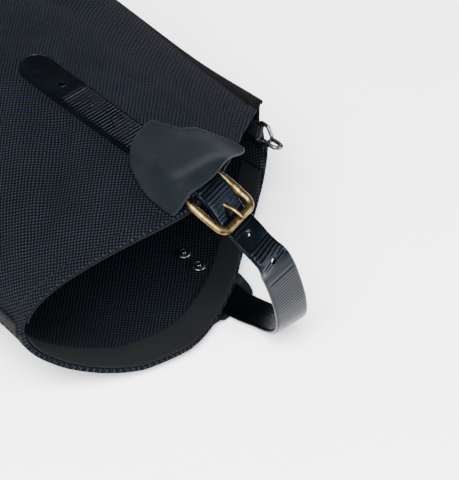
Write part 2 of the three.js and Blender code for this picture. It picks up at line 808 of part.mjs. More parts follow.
function patchUnderside(curve, x, y) {
  const shell = outerZ(x, y) + GAP + 0.1;
  const at = strapTopAt(curve, Math.max(y, HEEL_BAR[1] - 1));
  const outside = Math.max(0, Math.abs(x - at.x) - STRAP_WIDTH / 2 - TUNNEL_SIDE);
  const tunnel = at.z + STRAP_THICK / 2 + TUNNEL_CLEAR - TUNNEL_SLOPE * outside;
  return Math.max(shell, tunnel);
}

function buildPatch() {
  const count = 36;
  const rings = 8;
  const curve = strapCurve();
  const rim = patchRim(count);
  const flat = [new THREE.Vector3(...PATCH_CENTRE, 0)];
  for (let r = 1; r <= rings; r++) {
    rim.forEach((p) => flat.push(flat[0].clone().lerp(p, r / rings)));
  }
  const under = flat.map((p) => new THREE.Vector3(p.x, p.y, patchUnderside(curve, p.x, p.y)));
  const over = under.map((p) => new THREE.Vector3(p.x, p.y, p.z + PATCH_THICK));
  const offset = over.length;
  const triangles = [];
  const spot = (r, i) => (r === 0 ? 0 : 1 + (r - 1) * count + (i % count));
  for (let i = 0; i < count; i++) {
    triangles.push(0, spot(1, i), spot(1, i + 1));
    triangles.push(offset, offset + spot(1, i + 1), offset + spot(1, i));
    for (let r = 1; r < rings; r++) {
      const [a, b, c, d] = [spot(r, i), spot(r + 1, i), spot(r + 1, i + 1), spot(r, i + 1)];
      triangles.push(a, b, c, a, c, d);
      triangles.push(offset + a, offset + c, offset + b, offset + a, offset + d, offset + c);
    }
    const a = spot(rings, i);
    const b = spot(rings, i + 1);
    triangles.push(a, offset + a, offset + b, a, offset + b, b);
  }
  part.add(meshOf("buckle_patch", outwards(geometryOf([...over, ...under], triangles)), coated));
}

// ---- the patch on the inner side, with the strap's riveted end in it ----
function buildInnerPatch() {
  const low = HEM_LOW_Y + 3;
  const shape = new THREE.Shape();
  shape.moveTo(30, low);
  shape.lineTo(ANCHOR_X + 4, low + 6);
  shape.quadraticCurveTo(ANCHOR_X + 16, low + 8, ANCHOR_X + 15, low + 22);
  shape.lineTo(ANCHOR_X + 13, low + 50);
  shape.quadraticCurveTo(ANCHOR_X + 12, low + 62, ANCHOR_X, low + 62);
  shape.lineTo(40, low + 58);
  shape.quadraticCurveTo(14, low + 54, 14, low + 30);
  shape.quadraticCurveTo(14, low, 30, low);
  const plate = new THREE.ExtrudeGeometry(shape, {
    depth: INNER_PATCH_THICK - GAP,
    bevelEnabled: false,
    curveSegments: 5,
  });
  plate.translate(0, 0, -REST_DEPTH - INNER_PATCH_THICK);
  const halfPocket = STRAP_WIDTH / 2 + GAP;
  const pocketTop = anchorLowY + ANCHOR_LENGTH + 2 * GAP;
  const pocket = box(
    [ANCHOR_X - halfPocket - 0.5, low - 20, anchorZ - STRAP_THICK / 2 - GAP],
    [ANCHOR_X + halfPocket, pocketTop, -REST_DEPTH + 1],
  );
  const under = -REST_DEPTH - INNER_PATCH_THICK;
  const tools = rivetYs.flatMap((y) => [
    rivetTool(y, RIVET_R + GAP),
    rod(RIVET_HEAD_R + GAP, under - 1, under + RIVET_HEAD_THICK + GAP).translate(ANCHOR_X, y, 0),
  ]);
  part.add(meshOf("inner_patch", cut(plate, pocket, ...tools), coated));
}

function buildRivets() {
  const under = -REST_DEPTH - INNER_PATCH_THICK;
  const top = -REST_DEPTH + FABRIC + GAP;
  rivetYs.forEach((y, i) => {
    const head = rod(RIVET_HEAD_R, under + 0.1, under + RIVET_HEAD_THICK);
    const shaft = rod(RIVET_R, under + 0.5, top + 1.6, 16);
    const washer = cut(rod(RIVET_HEAD_R, top, top + 1), rod(RIVET_R + 0.2, top - 1, top + 2, 16));
    const rivet = meshOf(`strap_rivet_${i + 1}`, join(head, shaft), steel);
    rivet.position.set(ANCHOR_X, y, 0);
    const burr = meshOf(`rivet_washer_${i + 1}`, washer, steel);
    burr.position.set(ANCHOR_X, y, 0);
    part.add(rivet, burr);
  });
}

// ---- the lace hook at the front ----
const HOOK_ANGLE = 352;
const TAB_SHARE = 0.03;
const TAB_LENGTH = 15;
const hookFrame = mountFrame(HOOK_ANGLE, TAB_SHARE, underlapDepth(HOOK_ANGLE) + UNDERLAP_THICK + HOOK_SETBACK);

function buildLaceHook() {
  const group = groupAt(hookFrame);
  const eye = HOOK_WIRE_R + 0.4;
  const wall = 1;
  const outer = eye + wall;
  const drop = -TAB_SHARE * (TOP_Y - hemY(HOOK_ANGLE)) - 2 * HOOK_WIRE_R;
  const back = -outer;
  const shape = new THREE.Shape();
  shape.moveTo(back + outer, drop + TAB_LENGTH);
  shape.lineTo(back + outer, drop);
  shape.absarc(back, drop, outer, 0, -Math.PI, true);
  shape.lineTo(back - outer, drop + 2);
  shape.lineTo(back + outer - 2.4, drop + 7);
  shape.lineTo(back + outer - 2.4, drop + TAB_LENGTH);
  shape.closePath();
  const hole = new THREE.Path();
  hole.absarc(back, drop, eye, 0, 2 * Math.PI);
  shape.holes.push(hole);
  const body = new THREE.ExtrudeGeometry(shape, {
    depth: TAB_WIDTH - 2,
    bevelEnabled: false,
    curveSegments: 8,
  });
  body.translate(0, 0, -(TAB_WIDTH - 2) / 2);
  body.applyMatrix4(
    new THREE.Matrix4().makeBasis(
      new THREE.Vector3(0, 0, 1),
      new THREE.Vector3(0, 1, 0),
      new THREE.Vector3(-1, 0, 0),
    ),
  );
  group.add(meshOf("lace_hook_tab", body, webbing));

  const half = HOOK_WIDTH / 2;
  const spot = (x, y, z) => new THREE.Vector3(x, drop + y, back + z);
  const bar = tube([spot(-half, 0, 0), spot(0, 0, 0), spot(half, 0, 0)], HOOK_WIRE_R);
  const cheek = (s) => tube([spot(s * half, 1, 0), spot(s * half, -5, 0), spot(s * 1.6, -9, 0)], HOOK_WIRE_R);
  const bend = tube(
    [
      spot(0, -8.4, 0),
      spot(0, -HOOK_REACH + 3, 0),
      spot(0, -HOOK_REACH, -2.2),
      spot(0, -HOOK_REACH + 2.5, -5),
      spot(0, -HOOK_REACH + 8, -5.6),
    ],
    HOOK_WIRE_R,
  );
  group.add(meshOf("lace_hook", join(bar, cheek(1), cheek(-1), bend), steel));
  part.add(group);
}

// ---- assembly ----
buildPanels(rivetYs.map((y) => rivetTool(y, RIVET_R + GAP)));
buildClosure(snapHoles);
buildSnap();
buildCuff();
buildCamBuckle();
buildStrap();
buildBuckle();
buildKeeper();
buildPatch();
buildInnerPatch();
buildRivets();
buildLaceHook();

// The origin goes to the middle of the underside.
const bounds = new THREE.Box3().setFromObject(part, true);
const centre = bounds.getCenter(new THREE.Vector3());
part.position.set(-centre.x, -centre.y, -bounds.min.z);
const gaiter = new THREE.Group();
gaiter.add(part);

export default gaiter;
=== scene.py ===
import math

import bmesh
import bpy
from mathutils import Matrix, Vector, noise


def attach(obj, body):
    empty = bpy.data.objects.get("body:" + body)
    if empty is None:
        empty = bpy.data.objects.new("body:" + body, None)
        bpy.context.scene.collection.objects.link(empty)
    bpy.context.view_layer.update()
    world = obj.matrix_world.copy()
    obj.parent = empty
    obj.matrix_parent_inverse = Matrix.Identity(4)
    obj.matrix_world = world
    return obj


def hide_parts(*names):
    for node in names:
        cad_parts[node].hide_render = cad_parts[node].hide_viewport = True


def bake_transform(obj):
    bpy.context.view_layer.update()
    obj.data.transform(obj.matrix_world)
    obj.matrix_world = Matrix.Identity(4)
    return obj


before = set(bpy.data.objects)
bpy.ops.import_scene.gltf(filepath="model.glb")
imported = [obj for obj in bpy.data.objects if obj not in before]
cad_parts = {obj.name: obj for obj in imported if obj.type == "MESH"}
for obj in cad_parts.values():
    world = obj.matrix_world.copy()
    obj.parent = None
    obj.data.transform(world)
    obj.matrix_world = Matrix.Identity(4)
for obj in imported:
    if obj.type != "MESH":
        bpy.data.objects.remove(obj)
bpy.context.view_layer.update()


# ---------------------------------------------------------------------------
# Camera: a long lens 1.2 m from the buckle, 44 degrees up, on the outer side.
# ---------------------------------------------------------------------------
LENS_MM = 186.3
CAMERA_TARGET = Vector((0.0113, -0.1807, 0.0671))
CAMERA_BACK = Vector((-0.4624, -0.551, 0.695)).normalized()
CAMERA_DISTANCE = 1.2

bpy.ops.object.camera_add(location=CAMERA_TARGET + CAMERA_BACK * CAMERA_DISTANCE)
camera = bpy.context.object
camera.name = "camera"
camera.rotation_euler = CAMERA_BACK.to_track_quat("Z", "Y").to_euler()
camera.data.lens = LENS_MM
camera.data.sensor_width = 36
camera.data.dof.use_dof = False
bpy.context.scene.camera = camera


# ---------------------------------------------------------------------------
# Stage: a wide pale floor that the gaiter's inner side rests on, and soft light
# from a big panel overhead with weaker panels at both sides.
# ---------------------------------------------------------------------------
FLOOR_HALF = 20.0
FLOOR_DROP = 0.0005
FLOOR_COLOUR = "#f4f2f3"


def linear(colour):
    """A hex sRGB colour as linear RGBA."""
    parts = [int(colour[i : i + 2], 16) / 255 for i in (1, 3, 5)]
    return [c / 12.92 if c <= 0.04045 else ((c + 0.055) / 1.055) ** 2.4 for c in parts] + [1.0]


def add(tree, kind, inputs, out=0, **settings):
    """Adds a shader node, sets or links its inputs by name or number, and gives one output."""
    made = tree.nodes.new("ShaderNode" + kind)
    for key, value in settings.items():
        setattr(made, key, value)
    for key, value in inputs.items():
        if isinstance(value, bpy.types.NodeSocket):
            tree.links.new(value, made.inputs[key])
        else:
            made.inputs[key].default_value = value
    return made.outputs[out]


def new_material(name, **sockets):
    """A material with the named sockets of its Principled shader set. Gives it, its tree and shader."""
    made = bpy.data.materials.new(name)
    made.use_nodes = True
    shader = made.node_tree.nodes["Principled BSDF"]
    for key, value in sockets.items():
        shader.inputs[key.replace("_", " ")].default_value = value
    return made, made.node_tree, shader


def mesh_piece(name, points, faces, material, uvs=None, smooth=True):
    """A mesh object in the row frame from points in metres. uvs is one pair for each point."""
    mesh = bpy.data.meshes.new(name)
    mesh.from_pydata([tuple(p) for p in points], [], faces)
    if uvs:
        layer = mesh.uv_layers.new(name="cloth")
        for loop in mesh.loops:
            layer.data[loop.index].uv = uvs[loop.vertex_index]
    mesh.polygons.foreach_set("use_smooth", [smooth] * len(mesh.polygons))
    mesh.materials.append(material)
    made = bpy.data.objects.new(name, mesh)
    bpy.context.collection.objects.link(made)
    return made


floor_material, floor_tree, floor_shader = new_material("floor", Roughness=0.7)
# Matt board: an even pale grey with clouds about 0.3 m wide.
floor_grain = add(floor_tree, "TexNoise", {"Scale": 3.0, "Detail": 2.0})
floor_tone = add(
    floor_tree,
    "Mix",
    {0: floor_grain, 6: linear(FLOOR_COLOUR), 7: linear("#efeeef")},
    out=2,
    data_type="RGBA",
)
floor_tree.links.new(floor_tone, floor_shader.inputs["Base Color"])
floor = mesh_piece(
    "floor",
    [
        (x * FLOOR_HALF, y * FLOOR_HALF, -FLOOR_DROP) for x, y in (
            (-1, -1), (1, -1), (1, 1), (-1, 1)
        )
    ],
    [(0, 1, 2, 3)],
    floor_material,
    smooth=False,
)


def area_light(name, place, size, power, colour="#ffffff"):
    """A square soft light that looks at the camera's target and isn't seen itself."""
    bpy.ops.object.light_add(type="AREA", location=place)
    made = bpy.context.object
    made.name = name
    made.data.shape = "SQUARE"
    made.data.size = size
    made.data.energy = power
    made.data.color = linear(colour)[:3]
    made.rotation_euler = (Vector(place) - CAMERA_TARGET).to_track_quat("Z", "Y").to_euler()
    made.visible_camera = False
    return made


area_light("key_light", (-0.75, -0.75, 1.5), 1.2, 225)
area_light("sole_light", (0.95, -1.25, 0.7), 0.5, 44, "#e6efff")
area_light("back_light", (0.9, 1.6, 0.3), 0.5, 14, "#f4f7ff")
world = bpy.data.worlds.new("studio")
world.use_nodes = True
world.node_tree.nodes["Background"].inputs["Color"].default_value = linear("#f3f5fa")
world.node_tree.nodes["Background"].inputs["Strength"].default_value = 0.25
bpy.context.scene.world = world


# ---------------------------------------------------------------------------
# Outer panel: heavy plain-weave oxford from the flap's free edge round the outer
# side to the back seam, in one piece, with a folded hem. It is a fine grid over
# the worn shape, pressed in by soft folds, and closed with rounded edges.
# Leg coordinates are millimetres: x to the toe, y up from the sole, z outwards.
# ---------------------------------------------------------------------------
LEG_ORIGIN = Vector((-48.71, -216.08, 51.0))
TOP_Y = 430
HEM_LOW_Y = 37
FLAP_EDGE = 40
HINGE_ANGLE = 62
BACK_SEAM = 180
PANEL_THICK = 2.0
HEM_BAND = 7.0
HEM_SWELL = 0.45
STITCH_GROOVE = 0.3
EDGE_ROUND = 0.9
THREAD_PITCH = 1.15
MM_PER_DEGREE = 1.45
EDGE_SEAM = 9.0
TOP_SEAM = 3
SEAM_GROOVE_HALF = 0.8
HEM_STEP = 0.6
SEAM_THREAD = 0.34


def metres(x, y, z):
    """Leg millimetres to a point in the row frame."""
    return (Vector((x, y, z)) + LEG_ORIGIN) / 1000


def ease(v, start, end):
    """A smooth step from 0 at start to 1 at end."""
    t = min(1.0, max(0.0, (v - start) / (end - start)))
    return t * t * (3 - 2 * t)


def front_x(y):
    """The front of the leg's oval at a height."""
    return 130 + 9 / (1 + math.exp((y - 120) / 16)) - 9 * ease(y, 180, TOP_Y)


def back_x(y):
    """The back of the leg's oval at a height."""
    return -46 + 28 * ease(y, 180, TOP_Y)


def middle_x(y):
    """The middle of the leg's oval, from front to back."""
    return (front_x(y) + back_x(y)) / 2


def half_depth(y):
    """Half the oval's length from front to back."""
    return (front_x(y) - back_x(y)) / 2


def half_width(y):
    """Half the oval's width from side to side."""
    return 50 + 8 * ease(y, 120, TOP_Y)


def prow(angle):
    """How far the front stands out beyond the plain oval."""
    return 13 * ease(math.cos(math.radians(angle)), 0.5, 1)


def outer_z(x, y):
    """How far out the outer side stands at a place in the side view."""
    across = (x - middle_x(y)) / half_depth(y)
    return half_width(y) * math.sqrt(max(0.0, 1 - across * across))


def hem_y(angle):
    """The hem's height, which rises to the heel and to the toe."""
    x = middle_x(HEM_LOW_Y) + half_depth(HEM_LOW_Y) * math.cos(math.radians(angle))
    run, rise = (81, 25) if x < 35 else (100, 68)
    return HEM_LOW_Y + rise * (abs(x - 35) / run) ** 1.6


def height_at(angle, share):
    """The height at a share of the way from the hem to the top."""
    hem = hem_y(angle)
    return hem + share * (TOP_Y - hem)


# Each fold: x, y, direction in degrees from level, half-width, half-length, depth.
OUTER_FOLDS = (
    (92, 205, 118, 9, 52, 2.2),
    (76, 262, 104, 13, 60, 2.4),
    (18, 118, 58, 10, 34, 1.7),
    (-6, 92, 40, 8, 30, 1.6),
    (8, 180, 76, 12, 46, 2.0),
    (-12, 250, 66, 14, 60, 2.4),
    (36, 330, 96, 14, 60, 2.0),
    (104, 130, 70, 7, 24, 1.5),
    (64, 124, 20, 6, 22, 1.1),
    (84, 352, 80, 12, 44, 1.8),
    (-14, 150, 12, 6, 34, 1.3),
    (-2, 214, 170, 8, 40, 1.5),
)
INNER_FOLDS = (
    (30, 190, 100, 12, 60, 2.4),
    (84, 240, 80, 12, 60, 2.2),
    (0, 130, 60, 9, 40, 1.8),
    (60, 330, 95, 14, 60, 2.4),
    (100, 150, 110, 8, 36, 1.6),
)
FOLD_BOW = 0.003
# Places that hardware holds flat: x, y, clear radius, fade.
HELD_OUTER = ((50, 64, 34, 14), (47, 110, 15, 9), (44, 140, 14, 9), (41, 172, 14, 9))
HELD_INNER = ((52, 71, 44, 14),)


def fold_depth(x, y, folds, held):
    """How far the cloth is pressed in at a place in the side view, in mm."""
    broad = noise.noise(Vector((x / 34, y / 46, 1.7)))
    ripple = broad + 0.5 * noise.noise(Vector((x / 15, y / 21, 4.1)))
    depth = 0.9 * max(0.0, ripple + 0.35)
    for fx, fy, turn, wide, long, deep in folds:
        a = math.radians(turn)
        along = (x - fx) * math.cos(a) + (y - fy) * math.sin(a)
        across = (y - fy) * math.cos(a) - (x - fx) * math.sin(a)
        across += FOLD_BOW * along * along * (1 if fx > 40 else -1)
        depth += deep * math.exp(-((across / wide) ** 2) - (along / long) ** 2)
    for hx, hy, radius, fade in held:
        depth *= ease(math.hypot(x - hx, y - hy), radius, radius + fade)
    return depth * (1 - ease(y, TOP_Y - 44, TOP_Y - 30))


def shaft_point(angle, share, depth):
    """A point of the worn shape, in leg millimetres, a depth below its surface."""
    a = math.radians(angle)
    y = height_at(angle, share)
    turned = angle % 360
    x = middle_x(y) + half_depth(y) * math.cos(a)
    side = ease(turned, 44, 66) * (1 - ease(turned, 150, 172)) if turned <= 180 else 0
    inner_side = ease(turned, 190, 212) * (1 - ease(turned, 312, 326)) if turned > 180 else 0
    if side:
        depth = depth + side * fold_depth(x, y, OUTER_FOLDS, HELD_OUTER)
    if inner_side:
        depth = depth + inner_side * fold_depth(x, y, INNER_FOLDS, HELD_INNER)
    x = middle_x(y) + (half_depth(y) - depth) * math.cos(a) + prow(angle)
    z = (half_width(y) - depth) * math.sin(a)
    rest = 46 + 3.5 * ease(y, 120, TOP_Y)
    return Vector((x, y, max(z, depth - rest)))


def steps(start, end, spacing, margins=()):
    """Even stops from start to end, closer at both ends by the given margins."""
    count = max(1, math.ceil(abs(end - start) / spacing))
    inner = [start + (end - start) * i / count for i in range(count + 1)]
    sign = 1 if end > start else -1
    extra = [start + sign * m for m in margins] + [end - sign * m for m in margins]
    return sorted({round(v, 6) for v in inner + extra if min(start, end) <= v <= max(start, end)})


ARC = {}


def arc(angle):
    """Length round the shaft from the front to an angle, in mm, at ankle height."""
    key = round(angle, 4)
    if key not in ARC:
        total, last = 0.0, None
        count = max(2, int(abs(angle)))
        for i in range(count + 1):
            a = math.radians(angle * i / count)
            here = Vector((88 * math.cos(a), 51 * math.sin(a)))
            total += (here - last).length if last else 0
            last = here
        ARC[key] = total
    return ARC[key]


def slab_faces(columns, rows):
    """Faces of a closed slab made of an outer grid followed by an inner one."""
    offset = columns * rows
    faces = []
    for r in range(rows - 1):
        for c in range(columns - 1):
            a = r * columns + c
            d = a + columns
            faces.append((a, d, d + 1, a + 1))
            faces.append((offset + a, offset + a + 1, offset + d + 1, offset + d))
    for c in range(columns - 1):
        top = (rows - 1) * columns + c
        faces.append((c, c + 1, offset + c + 1, offset + c))
        faces.append((top + 1, top, offset + top, offset + top + 1))
    for r in range(rows - 1):
        left = r * columns
        right = left + columns - 1
        faces.append((left + columns, left, offset + left, offset + left + columns))
        faces.append((right, right + columns, offset + right + columns, offset + right))
    return faces


def round_in(distance, radius):
    """How far a rounded edge has sunk at a distance from it, as a share of its radius."""
    t = max(0.0, 1 - distance / radius)
    return 1 - math.sqrt(max(0.0, 1 - t * t))


def cloth(name, angles, shares, outer, thick, material, swell=None, lean=None):
    """A closed sheet of cloth on the shaft. outer is its depth, a number or a function of the angle.
    swell lifts its face and lean turns a place round the leg, both by angle and share."""
    near, far = [], []
    uvs = []
    for share in shares:
        for angle in angles:
            y = height_at(angle, share)
            span = TOP_Y - hem_y(angle)
            edge = min(
                (angle - angles[0]) * MM_PER_DEGREE,
                (angles[-1] - angle) * MM_PER_DEGREE,
                (share - shares[0]) * span,
                (shares[-1] - share) * span,
            )
            sunk = round_in(edge, EDGE_ROUND) * thick * 0.42
            base = outer(angle) if callable(outer) else outer
            lift = swell(angle, share, y) if swell else 0.0
            at = lean(angle, share) if lean else angle
            near.append(metres(*shaft_point(at, share, base + sunk - lift)))
            far.append(metres(*shaft_point(at, share, base + thick - sunk)))
            uvs.append((arc(angle), y))
    return mesh_piece(name, near + far, slab_faces(len(angles), len(shares)), material, uvs + uvs)


def oxford(name, dark, light, pitch=THREAD_PITCH):
    """Plain weave of matt thread: raised crossings in a chequer, painted lighter as painted highlight
    and darker between them as painted shade, threads that waver over about 8 mm, fuzz of about 0.6 mm
    and broad shading over about 30 mm."""
    made, tree, shader = new_material(name, Roughness=0.85, Specular_IOR_Level=0.05)
    place = add(tree, "UVMap", {}, uv_map="cloth")
    wobble = add(tree, "TexNoise", {"Vector": place, "Scale": 0.12, "Detail": 2.0}, out=1)
    wobble = add(tree, "VectorMath", {0: wobble, 1: (0.5, 0.5, 0.5)}, operation="SUBTRACT")
    wobble = add(tree, "VectorMath", {0: wobble, "Scale": 1.1}, operation="SCALE")
    place = add(tree, "VectorMath", {0: place, 1: wobble}, operation="ADD")
    across = add(tree, "SeparateXYZ", {0: place}, out=0)
    up = add(tree, "SeparateXYZ", {0: place}, out=1)
    turn = math.pi / pitch
    wave_u = add(
        tree,
        "Math",
        {0: add(tree, "Math", {0: across, 1: turn}, operation="MULTIPLY")},
        operation="SINE",
    )
    wave_v = add(
        tree,
        "Math",
        {0: add(tree, "Math", {0: up, 1: turn}, operation="MULTIPLY")},
        operation="SINE",
    )
    chequer = add(tree, "Math", {0: wave_u, 1: wave_v}, operation="MULTIPLY")
    fuzz = add(tree, "TexNoise", {"Vector": place, "Scale": 1.6, "Detail": 3.0})
    height = add(tree, "Math", {0: fuzz, 1: 0.7, 2: chequer}, operation="MULTIPLY_ADD")
    # Painted highlight and shade: the colour follows the weave's height, lighter on the raised
    # crossings and darker in the hollows.
    painted_light_level = add(tree, "MapRange", {"Value": height, "From Min": 0.3, "From Max": 1.25})
    thread = add(tree, "Mix", {0: painted_light_level, 6: linear(dark), 7: linear(light)}, out=2, data_type="RGBA")
    mottle = add(
        tree, "TexNoise", {"Vector": place, "Scale": 0.035, "Detail": 4.0, "Roughness": 0.6}
    )
    shade = add(
        tree,
        "MapRange",
        {"Value": mottle, "From Min": 0.3, "From Max": 0.7, "To Min": 0.8, "To Max": 1.2},
    )
    shade_colour = add(tree, "CombineXYZ", {0: shade, 1: shade, 2: shade})
    both = {0: 1.0, 6: thread, 7: shade_colour}
    toned = add(tree, "Mix", both, out=2, data_type="RGBA", blend_type="MULTIPLY")
    tree.links.new(toned, shader.inputs["Base Color"])
    bump = add(tree, "Bump", {"Strength": 0.9, "Distance": 0.0004, "Height": height})
    tree.links.new(bump, shader.inputs["Normal"])
    return made


def stitch_row(name, spots, material, length=2.6, pitch=3.5, radius=0.32, sink=0.1):
    """Separate thread stitches along a line. spots are (point, outward) pairs in leg mm."""
    points, faces = [], []
    rings, sides = 6, 6
    next_start = pitch * 0.4
    lengths = [0.0]
    for (a, _), (b, _) in zip(spots, spots[1:]):
        lengths.append(lengths[-1] + (b - a).length)

    def along(distance):
        for i in range(len(spots) - 1):
            if distance <= lengths[i + 1]:
                t = (distance - lengths[i]) / max(1e-9, lengths[i + 1] - lengths[i])
                return spots[i][0].lerp(spots[i + 1][0], t), spots[i][1].lerp(spots[i + 1][1], t)
        return spots[-1]

    while next_start + length < lengths[-1]:
        base = len(points)
        tip_a, _ = along(next_start)
        tip_b, _ = along(next_start + length)
        tangent = (tip_b - tip_a).normalized()
        for ring in range(rings + 1):
            s = ring / rings
            centre, out = along(next_start + length * s)
            side = tangent.cross(out).normalized()
            up = side.cross(tangent).normalized()
            belly = math.sqrt(max(0.0, 1 - (2 * s - 1) ** 2))
            wide = radius * max(0.12, belly ** 0.7)
            lifted = centre + up * (radius * 0.9 * belly - sink - radius * 0.5 * (1 - belly))
            for k in range(sides):
                turn = 2 * math.pi * k / sides
                points.append(
                    metres(
                        *(lifted + side * wide * math.cos(turn) + up * wide * 0.8 * math.sin(turn))
                    )
                )
        for ring in range(rings):
            for k in range(sides):
                a = base + ring * sides + k
                b = base + ring * sides + (k + 1) % sides
                faces.append((a, b, b + sides, a + sides))
        faces.append(tuple(base + k for k in reversed(range(sides))))
        faces.append(tuple(base + rings * sides + k for k in range(sides)))
        next_start += pitch
    return mesh_piece(name, points, faces, material)


def on_shaft(angle, share, lift=0.0):
    """A point on the panel's surface and the way out of it."""
    here = shaft_point(angle, share, -lift)
    round_leg = shaft_point(angle + 1, share, 0) - shaft_point(angle - 1, share, 0)
    above, below = min(share + 0.01, 1), max(share - 0.01, 0)
    up_leg = shaft_point(angle, above, 0) - shaft_point(angle, below, 0)
    return here, up_leg.cross(round_leg).normalized()


def band_share(angle, mm):
    """The share of the way up that is so many mm above the hem."""
    return mm / (TOP_Y - hem_y(angle))


# The light weave colour is painted highlight on the raised crossings; the dark one is the thread's own
# black.
OXFORD_DARK = "#010101"
OXFORD_PAINTED_HIGHLIGHT = "#151b24"
outer_oxford = oxford("oxford_fabric", OXFORD_DARK, OXFORD_PAINTED_HIGHLIGHT)
thread_black, thread_tree, thread_shader = new_material(
    "sewing_thread", Roughness=0.7, Specular_IOR_Level=0.12
)
# Bonded polyester thread: nearly black, with lighter bands painted along a twist about 1 mm long as
# painted sheen.
thread_place = add(thread_tree, "TexCoord", {}, out=3)
twist_sheen_bands = add(
    thread_tree, "TexWave", {"Vector": thread_place, "Scale": 900.0, "Distortion": 1.5}
)
thread_tone = add(
    thread_tree, "Mix", {
        0: twist_sheen_bands, 6: linear("#020203"), 7: linear("#0b0d10")
    }, out=2, data_type="RGBA"
)
thread_tree.links.new(thread_tone, thread_shader.inputs["Base Color"])


def seam_groove(distance):
    """How deep a stitch line pulls the cloth in, at a distance from it."""
    return STITCH_GROOVE * math.exp(-((distance / SEAM_GROOVE_HALF) ** 2))


def hem_rise(above):
    """How far the folded hem stands out, so far above its edge."""
    return HEM_SWELL * (1 - ease(above, HEM_BAND - HEM_STEP, HEM_BAND + HEM_STEP))


def panel_swell(angle, share, y):
    """The hem band stands proud below its stitch line, and each stitch line is sunk a little."""
    above = y - hem_y(angle)
    from_edge = (angle - FLAP_EDGE) * MM_PER_DEGREE
    lines = (above - HEM_BAND, from_edge - EDGE_SEAM, TOP_Y - TOP_SEAM - y)
    return hem_rise(above) - sum(seam_groove(distance) for distance in lines)


def flap_lean(angle, share):
    """The free edge leans 4 degrees back at the hem and 4 degrees forward from a quarter up."""
    turn = 4 - 8 * ease(share, 0.0, 0.28)
    return angle + turn * (1 - ease(angle, FLAP_EDGE, FLAP_EDGE + 20))


EDGE_MARGINS = (0.12, 0.3, 0.6)
SHARE_MARGINS = (0.0004, 0.0011, 0.0024)
GRID = 1.35
ROW_GRID = 0.0052

outer_panel = cloth(
    "outer_panel",
    steps(FLAP_EDGE, BACK_SEAM - 0.3, GRID, EDGE_MARGINS),
    steps(0, 1, ROW_GRID, SHARE_MARGINS + (0.0135, 0.0165, 0.0195)),
    0.0,
    PANEL_THICK,
    outer_oxford,
    panel_swell,
    flap_lean,
)
hem_line = [
    on_shaft(a, band_share(a, HEM_BAND), -STITCH_GROOVE) for a in steps(FLAP_EDGE + 5, 178, 2)
]
hem_stitches = stitch_row("hem_stitches_outer", hem_line, thread_black, radius=SEAM_THREAD)
edge_angle = FLAP_EDGE + EDGE_SEAM / MM_PER_DEGREE
edge_line = [on_shaft(flap_lean(edge_angle, s), s, -STITCH_GROOVE) for s in steps(0.02, 0.99, 0.01)]
edge_stitches = stitch_row("edge_stitches", edge_line, thread_black, radius=SEAM_THREAD)
top_line = [
    on_shaft(a, 1 - band_share(a, TOP_SEAM), -STITCH_GROOVE) for a in steps(FLAP_EDGE + 1, 72, 2)
]
top_stitches = stitch_row("top_stitches", top_line, thread_black, radius=SEAM_THREAD)

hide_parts("lateral_panel", "front_flap")
HINGE_LOW = metres(*shaft_point(HINGE_ANGLE, 0.4, 0))
for piece in (outer_panel, hem_stitches, top_stitches):
    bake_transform(piece)
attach(edge_stitches, "flap")


# ---------------------------------------------------------------------------
# Inner panel: the same oxford from the back seam round the inner side, which lies
# flat, to the front margin where the underlap is sewn on. Same folded hem.
# ---------------------------------------------------------------------------
INNER_FRONT = 342
INNER_THICK = 2.4
MARGIN_SEAM = 6.0


def inner_swell(angle, share, y):
    """As on the outer panel, with one stitch line down the front margin."""
    above = y - hem_y(angle)
    from_edge = (INNER_FRONT - angle) * MM_PER_DEGREE
    return hem_rise(above) - seam_groove(above - HEM_BAND) - seam_groove(from_edge - MARGIN_SEAM)


inner_panel = cloth(
    "inner_panel",
    steps(BACK_SEAM + 0.3, INNER_FRONT, GRID * 1.2, EDGE_MARGINS),
    steps(0, 1, ROW_GRID * 1.2, SHARE_MARGINS + (0.0135, 0.0165, 0.0195)),
    0.0,
    INNER_THICK,
    outer_oxford,
    inner_swell,
)
inner_hem_line = [
    on_shaft(a, band_share(a, HEM_BAND), -STITCH_GROOVE) for a in steps(182, INNER_FRONT - 1, 2)
]
inner_hem_stitches = stitch_row(
    "hem_stitches_inner", inner_hem_line, thread_black, radius=SEAM_THREAD
)
margin_angle = INNER_FRONT - MARGIN_SEAM / MM_PER_DEGREE
margin_line = [on_shaft(margin_angle, s, -STITCH_GROOVE) for s in steps(0.01, 0.99, 0.01)]
margin_stitches = stitch_row("front_margin_stitches", margin_line, thread_black, radius=SEAM_THREAD)
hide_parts("medial_panel")
for piece in (inner_panel, inner_hem_stitches, margin_stitches):
    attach(piece, "shaft")


# ---------------------------------------------------------------------------
# Underlap: a strip of oxford sewn under the inner panel's front margin, which runs
# behind the flap and carries the loop tape.
# ---------------------------------------------------------------------------
UNDERLAP_START = 330
UNDERLAP_END = 416
UNDERLAP_THICK = 1.7
UNDER_PANEL = 2.8
STACK_UNDER = 5.9


def underlap_depth(angle):
    """Close under the inner panel where it is sewn on, then deeper behind the flap and tapes."""
    drop = ease(angle, UNDERLAP_START + 14, UNDERLAP_START + 26)
    return UNDER_PANEL + (STACK_UNDER - UNDER_PANEL) * drop


underlap_piece = cloth(
    "underlap_cloth",
    steps(UNDERLAP_START, UNDERLAP_END, GRID * 1.2, EDGE_MARGINS),
    steps(0, 1, ROW_GRID * 1.4, SHARE_MARGINS),
    underlap_depth,
    UNDERLAP_THICK,
    outer_oxford,
)
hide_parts("underlap")
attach(underlap_piece, "shaft")


# ---------------------------------------------------------------------------
# Hook-and-loop tapes: a brushed loop strip on the underlap, with woven selvedges and a
# stitch row near each edge, and a stiffer hook strip behind the flap.
# ---------------------------------------------------------------------------
LOOP_START = 372
LOOP_END = 412
HOOK_START = 42.5
HOOK_END = 52
TAPE_TOP = 0.9
TAPE_THICK = 1.4
LOOP_DEPTH = 4.15
HOOK_DEPTH = 2.3
BORDER_DROP = 0.35


